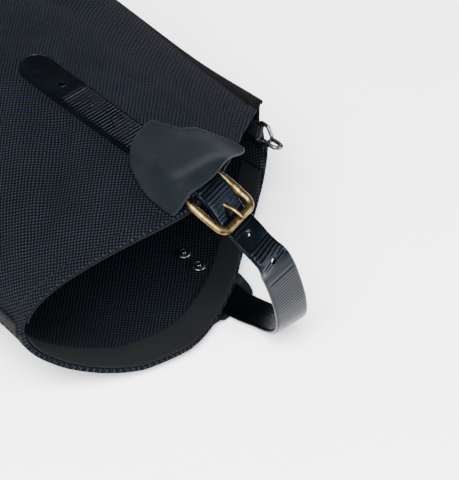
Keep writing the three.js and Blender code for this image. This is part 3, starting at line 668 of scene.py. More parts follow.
def tape_material(name, dark, light, grain, depth):
    """A matt nylon pile of fine loops or hooks, so many to the mm and so deep in metres, its colour
    following the pile's height so the higher tufts are painted highlight.
    """
    made, tree, shader = new_material(name, Roughness=0.9, Specular_IOR_Level=0.02)
    place = add(tree, "UVMap", {}, uv_map="cloth")
    pile = add(tree, "TexVoronoi", {"Vector": place, "Scale": grain})
    fuzz = add(tree, "TexNoise", {"Vector": place, "Scale": grain * 2.2, "Detail": 3.0})
    height = add(tree, "Math", {0: pile, 1: fuzz}, operation="MULTIPLY")
    # Painted highlight: the pile's colour follows its height, lighter where the tufts stand higher.
    tone = add(tree, "Mix", {0: height, 6: linear(dark), 7: linear(light)}, out=2, data_type="RGBA")
    tree.links.new(tone, shader.inputs["Base Color"])
    bump = add(tree, "Bump", {"Strength": 0.9, "Distance": depth, "Height": height})
    tree.links.new(bump, shader.inputs["Normal"])
    return made


def tape_swell(start, end):
    """Flat borders 2 mm wide beside a pile that stands higher."""

    def lift(angle, share, y):
        from_edge = min(angle - start, end - angle) * 1.1
        return -BORDER_DROP * (1 - ease(from_edge, 1.6, 2.4))

    return lift


loop_pile = tape_material("loop_pile", "#010101", "#040406", 1.5, 0.0006)
hook_pile = tape_material("hook_pile", "#020203", "#0c0e11", 0.9, 0.0008)
loop_strip = cloth(
    "loop_strip",
    steps(LOOP_START, LOOP_END, GRID, EDGE_MARGINS + (1.2, 1.8, 2.4)),
    steps(0, TAPE_TOP, ROW_GRID * 1.4, SHARE_MARGINS),
    LOOP_DEPTH,
    TAPE_THICK,
    loop_pile,
    tape_swell(LOOP_START, LOOP_END),
)
hook_strip = cloth(
    "hook_strip",
    steps(HOOK_START, HOOK_END, GRID, EDGE_MARGINS + (1.2, 1.8, 2.4)),
    steps(0.012, TAPE_TOP, ROW_GRID * 1.4, SHARE_MARGINS),
    HOOK_DEPTH,
    TAPE_THICK,
    hook_pile,
    lean=flap_lean,
)


# Polyester thread again, a little faded, so that the rows just show on the black tape, with the same
# painted sheen bands along its twist.
thread_grey, grey_tree, grey_shader = new_material(
    "tape_thread", Roughness=0.7, Specular_IOR_Level=0.1
)
grey_place = add(grey_tree, "TexCoord", {}, out=3)
grey_twist_sheen_bands = add(grey_tree, "TexWave", {"Vector": grey_place, "Scale": 900.0, "Distortion": 1.5})
grey_tone = add(
    grey_tree, "Mix", {
        0: grey_twist_sheen_bands, 6: linear("#1c1a18"), 7: linear("#262420")
    }, out=2, data_type="RGBA"
)
grey_tree.links.new(grey_tone, grey_shader.inputs["Base Color"])


def tape_row(name, angle, depth, start, end):
    """A stitch row up a tape, between two shares of the height."""
    line = [on_shaft(angle, s, -depth) for s in steps(start, end, 0.01)]
    return stitch_row(name, line, thread_grey, radius=0.3)


loop_rows = [
    tape_row("loop_stitches_front", LOOP_START + 1.0, LOOP_DEPTH + 0.3, 0.004, TAPE_TOP - 0.004),
    tape_row("loop_stitches_back", LOOP_END - 1.0, LOOP_DEPTH + 0.3, 0.004, TAPE_TOP - 0.004),
]
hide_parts("loop_tape")
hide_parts("hook_tape")
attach(loop_strip, "shaft")
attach(hook_strip, "flap")
for piece in loop_rows:
    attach(piece, "shaft")


# ---------------------------------------------------------------------------
# Woven trims: the tape over the back seam, the facings inside the hem and the
# ribbed elastic inside the ankle.
# ---------------------------------------------------------------------------
SEAM_TAPE_HALF = 5
SEAM_TAPE_LIFT = 1.15
TRIM_DEPTH = 2.8
FACING_TOP = 0.045
ELASTIC_FROM, ELASTIC_TO = 0.24, 0.29


def ribbed_cloth(name, dark, light, pitch, direction, roughness=0.85):
    """Woven polyester tape: rows of ribs pitch mm apart, a finer cross thread and 0.5 mm fuzz, with the
    colour following the relief so crowns are painted highlight and furrows painted shade.
    direction 0 runs the ribs up the leg and 1 runs them round it."""
    made, tree, shader = new_material(name, Roughness=roughness, Specular_IOR_Level=0.12)
    place = add(tree, "UVMap", {}, uv_map="cloth")
    ribs_at = add(tree, "SeparateXYZ", {0: place}, out=direction)
    cross_at = add(tree, "SeparateXYZ", {0: place}, out=1 - direction)
    rib = add(
        tree,
        "Math",
        {0: add(tree, "Math", {0: ribs_at, 1: math.tau / pitch}, operation="MULTIPLY")},
        operation="SINE",
    )
    pick = add(
        tree,
        "Math",
        {0: add(tree, "Math", {0: cross_at, 1: math.tau / (pitch * 0.8)}, operation="MULTIPLY")},
        operation="SINE",
    )
    woven = add(tree, "Math", {0: pick, 1: 0.35, 2: rib}, operation="MULTIPLY_ADD")
    fuzz = add(tree, "TexNoise", {"Vector": place, "Scale": 2.0, "Detail": 3.0})
    height = add(tree, "Math", {0: fuzz, 1: 0.5, 2: woven}, operation="MULTIPLY_ADD")
    # Painted highlight and shade: the colour follows the ribs' height, lighter on the crowns and darker
    # in the furrows.
    painted_light_level = add(tree, "MapRange", {"Value": height, "From Min": -0.8, "From Max": 1.5})
    tone = add(tree, "Mix", {0: painted_light_level, 6: linear(dark), 7: linear(light)}, out=2, data_type="RGBA")
    tree.links.new(tone, shader.inputs["Base Color"])
    bump = add(tree, "Bump", {"Strength": 0.6, "Distance": 0.0003, "Height": height})
    tree.links.new(bump, shader.inputs["Normal"])
    return made


# Each trim's second colour is painted highlight on its rib crowns.
seam_cloth = ribbed_cloth("seam_tape_weave", "#020203", "#0a0c10", 1.2, 1)
elastic_cloth = ribbed_cloth("elastic_weave", "#020203", "#0b0d10", 2.0, 1)
facing_cloth = ribbed_cloth("facing_weave", "#020203", "#090b0e", 1.0, 0)

seam_tape = cloth(
    "seam_tape",
    steps(BACK_SEAM - SEAM_TAPE_HALF, BACK_SEAM + SEAM_TAPE_HALF, 1.2, (0.3, 0.7)),
    steps(0.01, 0.91, ROW_GRID * 1.2, SHARE_MARGINS),
    -SEAM_TAPE_LIFT,
    1.0,
    seam_cloth,
)
seam_rows = [
    stitch_row(
        f"seam_stitches_{side}",
        [on_shaft(angle, s, SEAM_TAPE_LIFT) for s in steps(0.012, 0.905, 0.01)],
        thread_black,
        radius=0.3,
    )
    for side, angle in (("outer", BACK_SEAM - 3.6), ("inner", BACK_SEAM + 3.6))
]
facing_outer = cloth(
    "facing_outer", steps(76, 174, 2.4, EDGE_MARGINS), steps(
        0, FACING_TOP, 0.004, (0.0015,)
    ), TRIM_DEPTH, 1.1, facing_cloth
)
facing_inner = cloth(
    "facing_inner", steps(186, 329, 2.4, EDGE_MARGINS), steps(
        0, FACING_TOP, 0.004, (0.0015,)
    ), TRIM_DEPTH, 1.1, facing_cloth
)
ankle_band = cloth(
    "ankle_band",
    steps(96, 264, 2.4, EDGE_MARGINS),
    steps(ELASTIC_FROM, ELASTIC_TO, 0.004, (0.0015,)),
    TRIM_DEPTH,
    1.2,
    elastic_cloth,
    lambda angle, share, y: 0.25 * math.sin(arc(angle) * 1.1),
)
for piece, node in (
    (seam_tape, "back_seam_tape"),
    (facing_outer, "hem_facing_lateral"),
    (facing_inner, "hem_facing_medial"),
    (ankle_band, "ankle_elastic"),
):
    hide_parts(node)
    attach(piece, "shaft")
for piece in seam_rows:
    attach(piece, "shaft")


# ---------------------------------------------------------------------------
# Cuff: a folded band of ribbed webbing cloth round the top, open at the flap, with
# two stitch rows. The calf webbing runs round it to a cam buckle on the outer side.
# ---------------------------------------------------------------------------
CUFF_START = 74
CUFF_SHARE = 0.93
CUFF_DEPTH = -1.5
CUFF_CLOTH = 1.15
WEB_SHARE = 0.965
WEB_WIDTH = 15
WEB_THICK = 1.1
CAM_ORIGIN = Vector((-0.03972, 0.20044, 0.10760))
CAM_X = Vector((0.89796, 0.0, 0.44009))
CAM_Y = Vector((0.00225, 0.99999, -0.00458))
CAM_Z = Vector((-0.44008, 0.0051, 0.89794))
CAM_PIN_X, CAM_PIN_Z = -4.0, 5.6
WEB_LIE = -2.65
ANCHOR_LIE = -2.9


def catmull(points, count):
    """Points on a centripetal Catmull-Rom curve, evenly spaced along it."""
    ends = [points[0] * 2 - points[1]] + list(points) + [points[-1] * 2 - points[-2]]
    dense = []
    for i in range(1, len(ends) - 2):
        p0, p1, p2, p3 = ends[i - 1 : i + 3]
        d0, d1, d2 = (max(1e-4, (b - a).length ** 0.5) for a, b in ((p0, p1), (p1, p2), (p2, p3)))
        m1 = ((p1 - p0) / d0 - (p2 - p0) / (d0 + d1) + (p2 - p1) / d1) * d1
        m2 = ((p2 - p1) / d1 - (p3 - p1) / (d1 + d2) + (p3 - p2) / d2) * d1
        for k in range(40):
            t = k / 40
            dense.append(
                p1 * (2 * t**3 - 3 * t**2 + 1)
                + m1 * (t**3 - 2 * t**2 + t)
                + p2 * (3 * t**2 - 2 * t**3)
                + m2 * (t**3 - t**2)
            )
    dense.append(points[-1].copy())
    lengths = [0.0]
    for a, b in zip(dense, dense[1:]):
        lengths.append(lengths[-1] + (b - a).length)
    even, at = [], 0
    for k in range(count + 1):
        want = lengths[-1] * k / count
        while at < len(dense) - 2 and lengths[at + 1] < want:
            at += 1
        t = (want - lengths[at]) / max(1e-9, lengths[at + 1] - lengths[at])
        even.append(dense[at].lerp(dense[at + 1], t))
    return even, lengths[-1]


def stations_on(points, hint):
    """(centre, across, outward, distance) at each point. hint gives the way across."""
    made, travelled = [], 0.0
    for i, centre in enumerate(points):
        before, after = points[max(0, i - 1)], points[min(len(points) - 1, i + 1)]
        tangent = (after - before).normalized()
        wide = hint(centre, tangent)
        across = (wide - tangent * wide.dot(tangent)).normalized()
        if i:
            travelled += (centre - points[i - 1]).length
        made.append((centre, across, tangent.cross(across).normalized(), travelled))
    return made


def strip(name, stations, width, thick, material, relief=None, half_at=None, edge=0.5, columns=7):
    """A closed strip along stations, with rounded edges. relief lifts its outer face."""
    spread = [math.sin(math.pi * (c / (columns - 1) - 0.5)) for c in range(columns)]
    near, far, uvs = [], [], []
    for centre, across, out, distance in stations:
        half = half_at(distance) if half_at else width / 2
        for share in spread:
            x = share * half
            rounded = max(0.0, (abs(x) - (half - edge)) / edge)
            level = thick / 2 * max(0.12, math.sqrt(max(0.0, 1 - rounded * rounded)))
            lift = relief(distance, x) if relief else 0.0
            near.append(metres(*(centre + across * x + out * (level + lift))))
            far.append(metres(*(centre + across * x - out * level)))
            uvs.append((distance, x))
    made = mesh_piece(name, near + far, slab_faces(columns, len(stations)), material, uvs + uvs)
    face_out(made)
    return made


def face_out(piece):
    """Turns a closed piece's faces so that its normals point outwards."""
    cleaned = bmesh.new()
    cleaned.from_mesh(piece.data)
    bmesh.ops.recalc_face_normals(cleaned, faces=cleaned.faces)
    if cleaned.calc_volume(signed=True) < 0:
        bmesh.ops.reverse_faces(cleaned, faces=cleaned.faces)
    cleaned.to_mesh(piece.data)
    cleaned.free()


# The second colour of each is painted highlight on the rib crowns.
cuff_cloth = ribbed_cloth("cuff_weave", "#020203", "#0c0f13", 1.4, 1)
web_cloth = ribbed_cloth("webbing_weave", "#030304", "#101319", 1.6, 0, 0.7)
cuff = cloth(
    "cuff",
    steps(CUFF_START, INNER_FRONT, GRID * 1.2, EDGE_MARGINS),
    steps(CUFF_SHARE, 1, ROW_GRID / 1.5, SHARE_MARGINS),
    CUFF_DEPTH,
    CUFF_CLOTH,
    cuff_cloth,
)
cuff_rows = [
    stitch_row(
        f"cuff_stitches_{row}",
        [on_shaft(a, share, -CUFF_DEPTH) for a in steps(CUFF_START + 1, INNER_FRONT - 1, 2)],
        thread_black,
        radius=0.3,
    )
    for row, share in (("low", CUFF_SHARE + 0.006), ("high", 0.994))
]
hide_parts("top_cuff")
anchor_half = WEB_WIDTH / 2 / (TOP_Y - HEM_LOW_Y)
cam_anchor = cloth(
    "cam_anchor_tab",
    steps(106, 128, 1.4, (0.3, 0.7)),
    steps(WEB_SHARE - anchor_half, WEB_SHARE + anchor_half, 0.003, (0.001,)),
    ANCHOR_LIE,
    1.05,
    web_cloth,
)
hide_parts("cam_buckle_anchor")


def cam_spot(x, y, z):
    """A point of the cam buckle, in leg mm, from its own axes."""
    return (CAM_ORIGIN + (CAM_X * x + CAM_Y * y + CAM_Z * z) / 1000) * 1000 - LEG_ORIGIN


web_points = [shaft_point(angle, WEB_SHARE, WEB_LIE) for angle in range(232, 147, -12)]
web_points += [cam_spot(u - CAM_PIN_X, 0, 2.45 - CAM_PIN_Z) for u in (-17, -11, 0, 11)]
web_points += [shaft_point(95, WEB_SHARE, WEB_LIE - 2.2), shaft_point(84, WEB_SHARE, WEB_LIE - 1)]
web_path, _ = catmull(web_points, 150)
calf_web = strip(
    "calf_web",
    stations_on(web_path, lambda at, tangent: Vector((0, 1, 0))),
    WEB_WIDTH,
    WEB_THICK,
    web_cloth,
    columns=9,
)
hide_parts("calf_webbing")
for piece in (cuff, cam_anchor, calf_web, *cuff_rows):
    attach(piece, "shaft")


# ---------------------------------------------------------------------------
# Instep strap: moulded soft plastic. The tail lies up the leg and passes under the
# patch and over the buckle's heel bar, and the loop runs from the far bar under the
# sole to the inner side. Fine cross ribs stand between plain borders, deeper on the
# tail and in one band below the buckle. The holes are cut through.
# ---------------------------------------------------------------------------
STRAP_WIDTH = 19
STRAP_THICK = 2.2
RIB_PITCH = 2.0
RIB_BORDER = 1.7
HOLE_RADIUS = 1.6
TAIL_HOLE_AT = 28.0
HOLE_PITCH = 18.0
BUCKLE_LENGTH = 25
HEEL_BAR = Vector((48.5, 44.0, 53.44))
ACROSS = Vector((0.95782, 0.28736, 0.0))
TO_FAR_BAR = Vector((0.25937, -0.86452, -0.43051))
OUT_OF_BUCKLE = Vector((0.12371, -0.41235, 0.90259))


def buckle_spot(along, out, across=0.0):
    """A place in leg mm, from the heel bar along the frame, out of it and across it."""
    return HEEL_BAR + TO_FAR_BAR * along + OUT_OF_BUCKLE * out + ACROSS * across


def tail_spot(share, lift):
    """A place on the tail's line, from the heel bar at 0 to the tip at 1."""
    x = 49.5 + (41.5 - 49.5) * share
    y = 44 + (172 - 44) * share
    return Vector((x, y, outer_z(x, y) + lift))


def strap_across(at, tangent):
    """The strap's width runs level under the sole and square to the tail above it."""
    level = Vector((-tangent.y, tangent.x, 0))
    return Vector((1, 0, 0)).lerp(level, ease(at.z, 18, 34))


strap_points = [
    tail_spot(share, lift)
    for share, lift in (
        (1, 1.7), (0.8, 1.7), (0.6, 1.7), (0.42, 1.7), (0.28, 2.2), (0.18, 3.7), (0.08, 4.9)
    )
]
strap_points += [
    buckle_spot(along, out)
    for along, out in (
        (-2, 4.05),
        (4, 3.95),
        (9, 3.15),
        (15.5, 0.6),
        (19.5, -1.55),
        (22.7, -2.95),
        (25, -3.15),
        (30, -3.75),
    )
]
strap_points += [
    Vector(p)
    for p in (
        (58, 12, 31.5),
        (60.5, 6.5, 26),
        (64, 4.4, 17),
        (68.5, 4, 3),
        (73, 4.4, -14),
        (75.5, 6.5, -26),
        (77.3, 11, -34),
        (78.6, 19, -40.5),
        (79.2, 30, -45.2),
        (76, 47, -47.7),
        (75, 72, -47.7),
        (75, 97, -47.7),
    )
]
RIB_STEP = 0.4
STRAP_LENGTH = 334.8
strap_path, _ = catmull(strap_points, int(STRAP_LENGTH / RIB_STEP))
strap_stations = stations_on(strap_path, strap_across)


def distance_of(target):
    """How far along the strap it passes closest to a point."""
    return min(strap_stations, key=lambda s: (s[0] - target).length)[3]


tongue_hole_at = distance_of(buckle_spot(15.5, 0.8))
far_bar_at = distance_of(buckle_spot(25, -3.15))
heel_bar_at = distance_of(buckle_spot(0, 4.0))
hole_places = [TAIL_HOLE_AT] + [tongue_hole_at + HOLE_PITCH * k for k in range(3)]


def rib_height(distance):
    """The ribs' height along the strap, in mm."""
    past = distance - far_bar_at
    tail = 0.30 * ease(distance, 32, 40) * (1 - ease(distance, heel_bar_at - 14, heel_bar_at))
    over = 0.12 * ease(distance, heel_bar_at - 14, heel_bar_at) * (1 - ease(past, 2, 8))
    band = 0.34 * ease(past, 13, 16) * (1 - ease(past, 26, 29))
    loop = 0.10 * ease(past, 34, 40) * (1 - ease(distance, 262, 276))
    return max(tail, over, band, loop)


def strap_relief(distance, x):
    """The outer face's height at a place: ribs, one groove across and a rim round the tip hole."""
    inside = 1 - ease(abs(x), STRAP_WIDTH / 2 - RIB_BORDER - 0.5, STRAP_WIDTH / 2 - RIB_BORDER)
    wave = math.sin(math.tau * distance / RIB_PITCH)
    rib = rib_height(distance) * (wave if wave > 0 else 0.35 * wave)
    for hole in hole_places:
        away = math.hypot(distance - hole, x)
        rib *= ease(away, HOLE_RADIUS + 0.5, HOLE_RADIUS + 1.3)
    groove = 0.35 * math.exp(-(((distance - far_bar_at - 37) / 0.45) ** 2))
    tip_ring = 0.18 * math.exp(
        -(((math.hypot(distance - TAIL_HOLE_AT, x) - HOLE_RADIUS - 0.5) / 0.3) ** 2)
    )
    return (rib - groove) * inside + tip_ring


def strap_half(distance):
    """Half the tail's width, which rounds off at the tip."""
    reach = STRAP_WIDTH / 2
    t = max(0.0, 1 - distance / reach)
    return max(0.5, reach * math.sqrt(max(0.0, 1 - t * t)))


def moulded_strap(name, dark, light):
    """Moulded soft vinyl: nearly black with a cool soft shine, duller in clouds of about 16 mm, over a
    skin grain of about 0.3 mm."""
    made, tree, shader = new_material(
        name, Roughness=0.26, Specular_IOR_Level=0.09, Specular_Tint=linear("#b4cfe2")
    )
    place = add(tree, "UVMap", {}, uv_map="cloth")
    cloud = add(tree, "TexNoise", {"Vector": place, "Scale": 0.06, "Detail": 4.0})
    tone = add(tree, "Mix", {0: cloud, 6: linear(dark), 7: linear(light)}, out=2, data_type="RGBA")
    tree.links.new(tone, shader.inputs["Base Color"])
    grain = add(tree, "TexNoise", {"Vector": place, "Scale": 3.2, "Detail": 2.0})
    rough = add(
        tree,
        "MapRange",
        {"Value": cloud, "From Min": 0.3, "From Max": 0.7, "To Min": 0.22, "To Max": 0.32},
    )
    tree.links.new(rough, shader.inputs["Roughness"])
    bump = add(tree, "Bump", {"Strength": 0.25, "Distance": 0.00008, "Height": grain})
    tree.links.new(bump, shader.inputs["Normal"])
    return made


def cut_holes(piece, places, radius):
    """Cuts round holes through a strip, square to it, at distances along the strap."""
    for k, distance in enumerate(places):
        centre, _, out, _ = min(strap_stations, key=lambda s: abs(s[3] - distance))
        bpy.ops.mesh.primitive_cylinder_add(vertices=40, radius=radius / 1000, depth=0.012)
        cutter = bpy.context.object
        cutter.matrix_world = Matrix.Translation(
            metres(*centre)
        ) @ out.to_track_quat("Z", "Y").to_matrix().to_4x4()
        bpy.ops.object.select_all(action="DESELECT")
        bpy.context.view_layer.objects.active = piece
        piece.select_set(True)
        cutting = piece.modifiers.new(f"hole_{k}", "BOOLEAN")
        cutting.operation = "DIFFERENCE"
        cutting.object = cutter
        cutting.solver = "EXACT"
        bpy.ops.object.modifier_apply(modifier=cutting.name)
        bpy.data.objects.remove(cutter, do_unlink=True)


strap_material = moulded_strap("strap_plastic", "#010101", "#020406")
tip_stations = stations_on(catmull(strap_points, int(STRAP_LENGTH / RIB_STEP * 4))[0], strap_across)
tail_stations = [s for s in tip_stations if s[3] < 4]
tail_stations += [s for s in strap_stations if 4 <= s[3] <= far_bar_at]
strap_tail = strip(
    "strap_tail",
    tail_stations,
    STRAP_WIDTH,
    STRAP_THICK,
    strap_material,
    strap_relief,
    strap_half,
    edge=0.8,
    columns=19,
)
strap_loop = strip(
    "strap_loop",
    [s for s in strap_stations if s[3] >= far_bar_at],
    STRAP_WIDTH,
    STRAP_THICK,
    strap_material,
    strap_relief,
    edge=0.8,
    columns=19,
)
cut_holes(strap_tail, hole_places[:2], HOLE_RADIUS)
cut_holes(strap_loop, hole_places[2:], HOLE_RADIUS)
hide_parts("instep_strap")
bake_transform(strap_tail)
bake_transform(strap_loop)


# ---------------------------------------------------------------------------
# Buckle: cast antique brass. A rounded frame of oval bar swept round one closed
# path, and a tongue that turns on the heel bar and rests on the far bar.
# ---------------------------------------------------------------------------
BAR_WIDE = 2.05
BAR_HIGH = 1.72
HEEL_BAR_RADIUS = 1.2
FRAME_HALF = 12.6
FAR_CORNER = 4.6
HEEL_CORNER = 2.2


def antique_brass(name):
    """Cast and tumbled brass, aged: brown patches about 4 mm wide where the finish stays, paler and
    shinier where it is rubbed, and pits of about 0.7 mm."""
    made, tree, shader = new_material(name, Metallic=1.0, Roughness=0.3)
    place = add(tree, "TexCoord", {}, out=3)
    patina = add(
        tree, "TexNoise", {"Vector": place, "Scale": 260.0, "Detail": 6.0, "Roughness": 0.65}
    )
    worn = add(tree, "MapRange", {"Value": patina, "From Min": 0.36, "From Max": 0.64})
    tone = add(
        tree, "Mix", {0: worn, 6: linear("#241c10"), 7: linear("#6e5c3a")}, out=2, data_type="RGBA"
    )
    tree.links.new(tone, shader.inputs["Base Color"])
    rough = add(
        tree,
        "MapRange",
        {"Value": patina, "From Min": 0.3, "From Max": 0.7, "To Min": 0.5, "To Max": 0.34},
    )
    tree.links.new(rough, shader.inputs["Roughness"])
    pits = add(tree, "TexNoise", {"Vector": place, "Scale": 1400.0, "Detail": 3.0})
    bump = add(tree, "Bump", {"Strength": 0.25, "Distance": 0.00006, "Height": pits})
    tree.links.new(bump, shader.inputs["Normal"])
    return made


def swept(name, centres, frames, radii, material, closed, sides=20):
    """A bar of oval section along centres. frames give two ways across and radii two sizes."""
    points, faces = [], []
    count = len(centres)
    for centre, (one, two), (a, b) in zip(centres, frames, radii):
        for k in range(sides):
            turn = math.tau * k / sides
            points.append(metres(*(centre + one * a * math.cos(turn) + two * b * math.sin(turn))))
    for i in range(count if closed else count - 1):
        j = (i + 1) % count
        for k in range(sides):
            m = (k + 1) % sides
            faces.append((i * sides + k, i * sides + m, j * sides + m, j * sides + k))
    if not closed:
        faces.append(tuple(reversed(range(sides))))
        faces.append(tuple((count - 1) * sides + k for k in range(sides)))
    made = mesh_piece(name, points, faces, material)
    face_out(made)
    return made


def frame_outline():
    """The frame's centre line, seen square on: (across, along) and the bar's two radii."""
    spots = []

    def corner(cx, cy, radius, start):
        for k in range(13):
            a = math.radians(start + k * 7.5)
            spots.append((cx + radius * math.cos(a), cy + radius * math.sin(a)))

    for k in range(12):
        spots.append(
            (
                -FRAME_HALF + HEEL_CORNER + 0.6 + (2 * FRAME_HALF - 2 * HEEL_CORNER - 1.2) * k / 11,
                0.0,
            )
        )
    corner(FRAME_HALF - HEEL_CORNER, HEEL_CORNER, HEEL_CORNER, -90)
    for k in range(1, 9):
        along = HEEL_CORNER + (BUCKLE_LENGTH - HEEL_CORNER - FAR_CORNER) * k / 9
        spots.append((FRAME_HALF + 0.35 * math.sin(math.pi * k / 9), along))
    corner(FRAME_HALF - FAR_CORNER, BUCKLE_LENGTH - FAR_CORNER, FAR_CORNER, 0)
    for k in range(1, 9):
        spots.append(
            (FRAME_HALF - FAR_CORNER - (2 * FRAME_HALF - 2 * FAR_CORNER) * k / 9, BUCKLE_LENGTH)
        )
    corner(-FRAME_HALF + FAR_CORNER, BUCKLE_LENGTH - FAR_CORNER, FAR_CORNER, 90)
    for k in range(1, 9):
        along = BUCKLE_LENGTH - FAR_CORNER - (BUCKLE_LENGTH - HEEL_CORNER - FAR_CORNER) * k / 9
        spots.append((-FRAME_HALF - 0.35 * math.sin(math.pi * k / 9), along))
    corner(-FRAME_HALF + HEEL_CORNER, HEEL_CORNER, HEEL_CORNER, 180)
    return spots


brass = antique_brass("antique_brass")
outline = frame_outline()
frame_centres, frame_axes, frame_radii = [], [], []
for i, (across, along) in enumerate(outline):
    before, after = outline[i - 1], outline[(i + 1) % len(outline)]
    way = Vector((after[0] - before[0], after[1] - before[1])).normalized()
    inward = ACROSS * -way.y + TO_FAR_BAR * way.x
    swell = ease(along, 0.6, 6)
    frame_centres.append(buckle_spot(along, 0.0, across))
    frame_axes.append((inward, OUT_OF_BUCKLE))
    frame_radii.append(
        (
            HEEL_BAR_RADIUS + (BAR_WIDE - HEEL_BAR_RADIUS) * swell,
            HEEL_BAR_RADIUS + (BAR_HIGH - HEEL_BAR_RADIUS) * swell,
        )
    )
buckle_body = swept("buckle_body", frame_centres, frame_axes, frame_radii, brass, closed=True)
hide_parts("buckle_frame")
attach(buckle_body, "buckle")

TONGUE_LINE = (
    (1.9, 0.4), (6, 0.5), (10.5, 0.3), (15.5, 0.8), (20.5, 2.75), (25, 3.1), (27.2, 2.85)
)
tongue_path, _ = catmull([buckle_spot(along, out) for along, out in TONGUE_LINE], 46)
tongue_axes, tongue_radii = [], []
for i, centre in enumerate(tongue_path):
    before, after = tongue_path[max(0, i - 1)], tongue_path[min(46, i + 1)]
    tongue_axes.append((ACROSS, (after - before).normalized().cross(ACROSS).normalized()))
    tip = math.sqrt(max(0.0, 1 - max(0.0, (i - 42.5) / 3.6) ** 2))
    tongue_radii.append((1.15 * max(0.1, tip), 1.0 * max(0.1, tip)))
tongue_shank = swept(
    "tongue_shank", tongue_path, tongue_axes, tongue_radii, brass, closed=False, sides=16
)
ring_centres = [
    HEEL_BAR + (
        TO_FAR_BAR * math.cos(math.tau * k / 28) + OUT_OF_BUCKLE * math.sin(math.tau * k / 28)
    ) * 1.95
    for k in range(28)
]
ring_axes = [((centre - HEEL_BAR).normalized(), ACROSS) for centre in ring_centres]
tongue_ring = swept(
    "tongue_ring", ring_centres, ring_axes, [(0.5, 1.5)] * 28, brass, closed=True, sides=12
)
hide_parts("buckle_tongue")
for piece in (tongue_shank, tongue_ring):
    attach(piece, "tongue")


# ---------------------------------------------------------------------------
# Keeper: two narrow webbing loops that hold the heel bar at each side of the tongue.
# ---------------------------------------------------------------------------
KEEPER_THICK = 0.8
KEEPER_EYE = 1.25 + 0.3 + KEEPER_THICK / 2
UP_LEG = Vector((-ACROSS.y, ACROSS.x, 0))
keeper_line = [(16, -KEEPER_EYE), (9, -KEEPER_EYE), (3, -KEEPER_EYE)]
keeper_line += [
    (
        -KEEPER_EYE * math.sin(math.radians(a)), -KEEPER_EYE * math.cos(math.radians(a))
    ) for a in range(0, 181, 20)
]
keeper_line += [(3, KEEPER_EYE - 0.9), (8, -KEEPER_EYE + 1.1), (15, -KEEPER_EYE + 0.85)]
for side, offset in (("toe", 5.6), ("heel", -5.6)):
    base = HEEL_BAR + ACROSS * offset
    path, _ = catmull([base + UP_LEG * u + Vector((0, 0, v)) for u, v in keeper_line], 90)
    loop = strip(
        f"keeper_{side}",
        stations_on(path, lambda at, t: ACROSS),
        6.6,
        KEEPER_THICK,
        web_cloth,
        edge=0.3,
    )
    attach(loop, "shaft")
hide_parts("buckle_keeper")


# ---------------------------------------------------------------------------
# Buckle patch: coated cloth, a heart on its side with the notch towards the toe. It
# lies on the panel, domes over the strap, and is sewn down except where the strap
# goes in at the top and comes out at the bottom.
# ---------------------------------------------------------------------------
PATCH_OUTLINE = (
    (27, 37),
    (41, 36),
    (53, 38),
    (63, 42.5),
    (74, 48.5),
    (86, 55),
    (82, 68),
    (75, 78),
    (67, 80),
    (63, 87),
    (58, 93),
    (44, 88),
    (32, 76),
    (26.5, 58),
)
PATCH_CENTRE = Vector((50, 64, 0))
PATCH_THICK = 1.5
PATCH_CLEAR = 0.85
TUNNEL_HALF = 10.2
HEEL_FALL = 14.0
TOE_FALL = 27.0
STITCH_INSET = 2.6


def closed_line(points, count, tension):
    """Evenly spaced points on a closed Catmull-Rom line."""
    dense, total = [], len(points)
    for i in range(total):
        p0, p1, p2, p3 = (points[(i + k) % total] for k in (-1, 0, 1, 2))
        m1, m2 = (p2 - p0) * tension, (p3 - p1) * tension
        for k in range(24):
            t = k / 24
            dense.append(
                p1 * (2 * t**3 - 3 * t**2 + 1)
                + m1 * (t**3 - 2 * t**2 + t)
                + p2 * (3 * t**2 - 2 * t**3)
                + m2 * (t**3 - t**2)
            )
    lengths = [0.0]
    for i, here in enumerate(dense):
        lengths.append(lengths[-1] + (dense[(i + 1) % len(dense)] - here).length)
    even, at = [], 0
    for k in range(count):
        want = lengths[-1] * k / count
        while lengths[at + 1] < want:
            at += 1
        t = (want - lengths[at]) / (lengths[at + 1] - lengths[at])
        even.append(dense[at].lerp(dense[(at + 1) % len(dense)], t))
    return even


strap_tops = sorted(
    (
        (s[0].y, s[0].x, s[0].z + STRAP_THICK / 2) for s in strap_stations if s[3] < far_bar_at - 8
    ), key=lambda t: t[0]
)


def strap_top(y):
    """Where the strap's outer face is at a height up the leg: its x and z."""
    if y <= strap_tops[0][0]:
        return strap_tops[0][1:]
    for (ya, xa, za), (yb, xb, zb) in zip(strap_tops, strap_tops[1:]):
        if y <= yb:
            t = (y - ya) / max(1e-9, yb - ya)
            return xa + (xb - xa) * t, za + (zb - za) * t
    return strap_tops[-1][1:]


def patch_under(x, y):
    """The lowest the patch may lie: on the panel, or clear over the strap and falling to each side."""
    shell = outer_z(x, y) + 0.4
    at_x, at_z = strap_top(max(y, 43.0))
    over = at_z + PATCH_CLEAR
    reach = TOE_FALL if x > at_x else HEEL_FALL
    fall = 1 - ease(abs(x - at_x), TUNNEL_HALF, TUNNEL_HALF + reach)
    return shell + max(0.0, over - shell) * fall


NEARBY = [(0, 0)] + [
    (
        r * math.cos(k * math.pi / 4), r * math.sin(k * math.pi / 4)
    ) for r in (1.5, 3) for k in range(8)
]


def patch_under_soft(x, y):
    """The patch's underside, smoothed over its neighbourhood but never below the strap."""
    total = 0.0
    for dx, dy in NEARBY:
        total += patch_under(x + dx, y + dy)
    ripple = 0.2 * noise.noise(Vector((x / 13, y / 15, 7.3)))
    return max(total / len(NEARBY) + 0.3 + ripple, outer_z(x, y) + 0.35)


def patch_top(x, y):
    """The patch's outer face."""
    return patch_under_soft(x, y) + PATCH_THICK


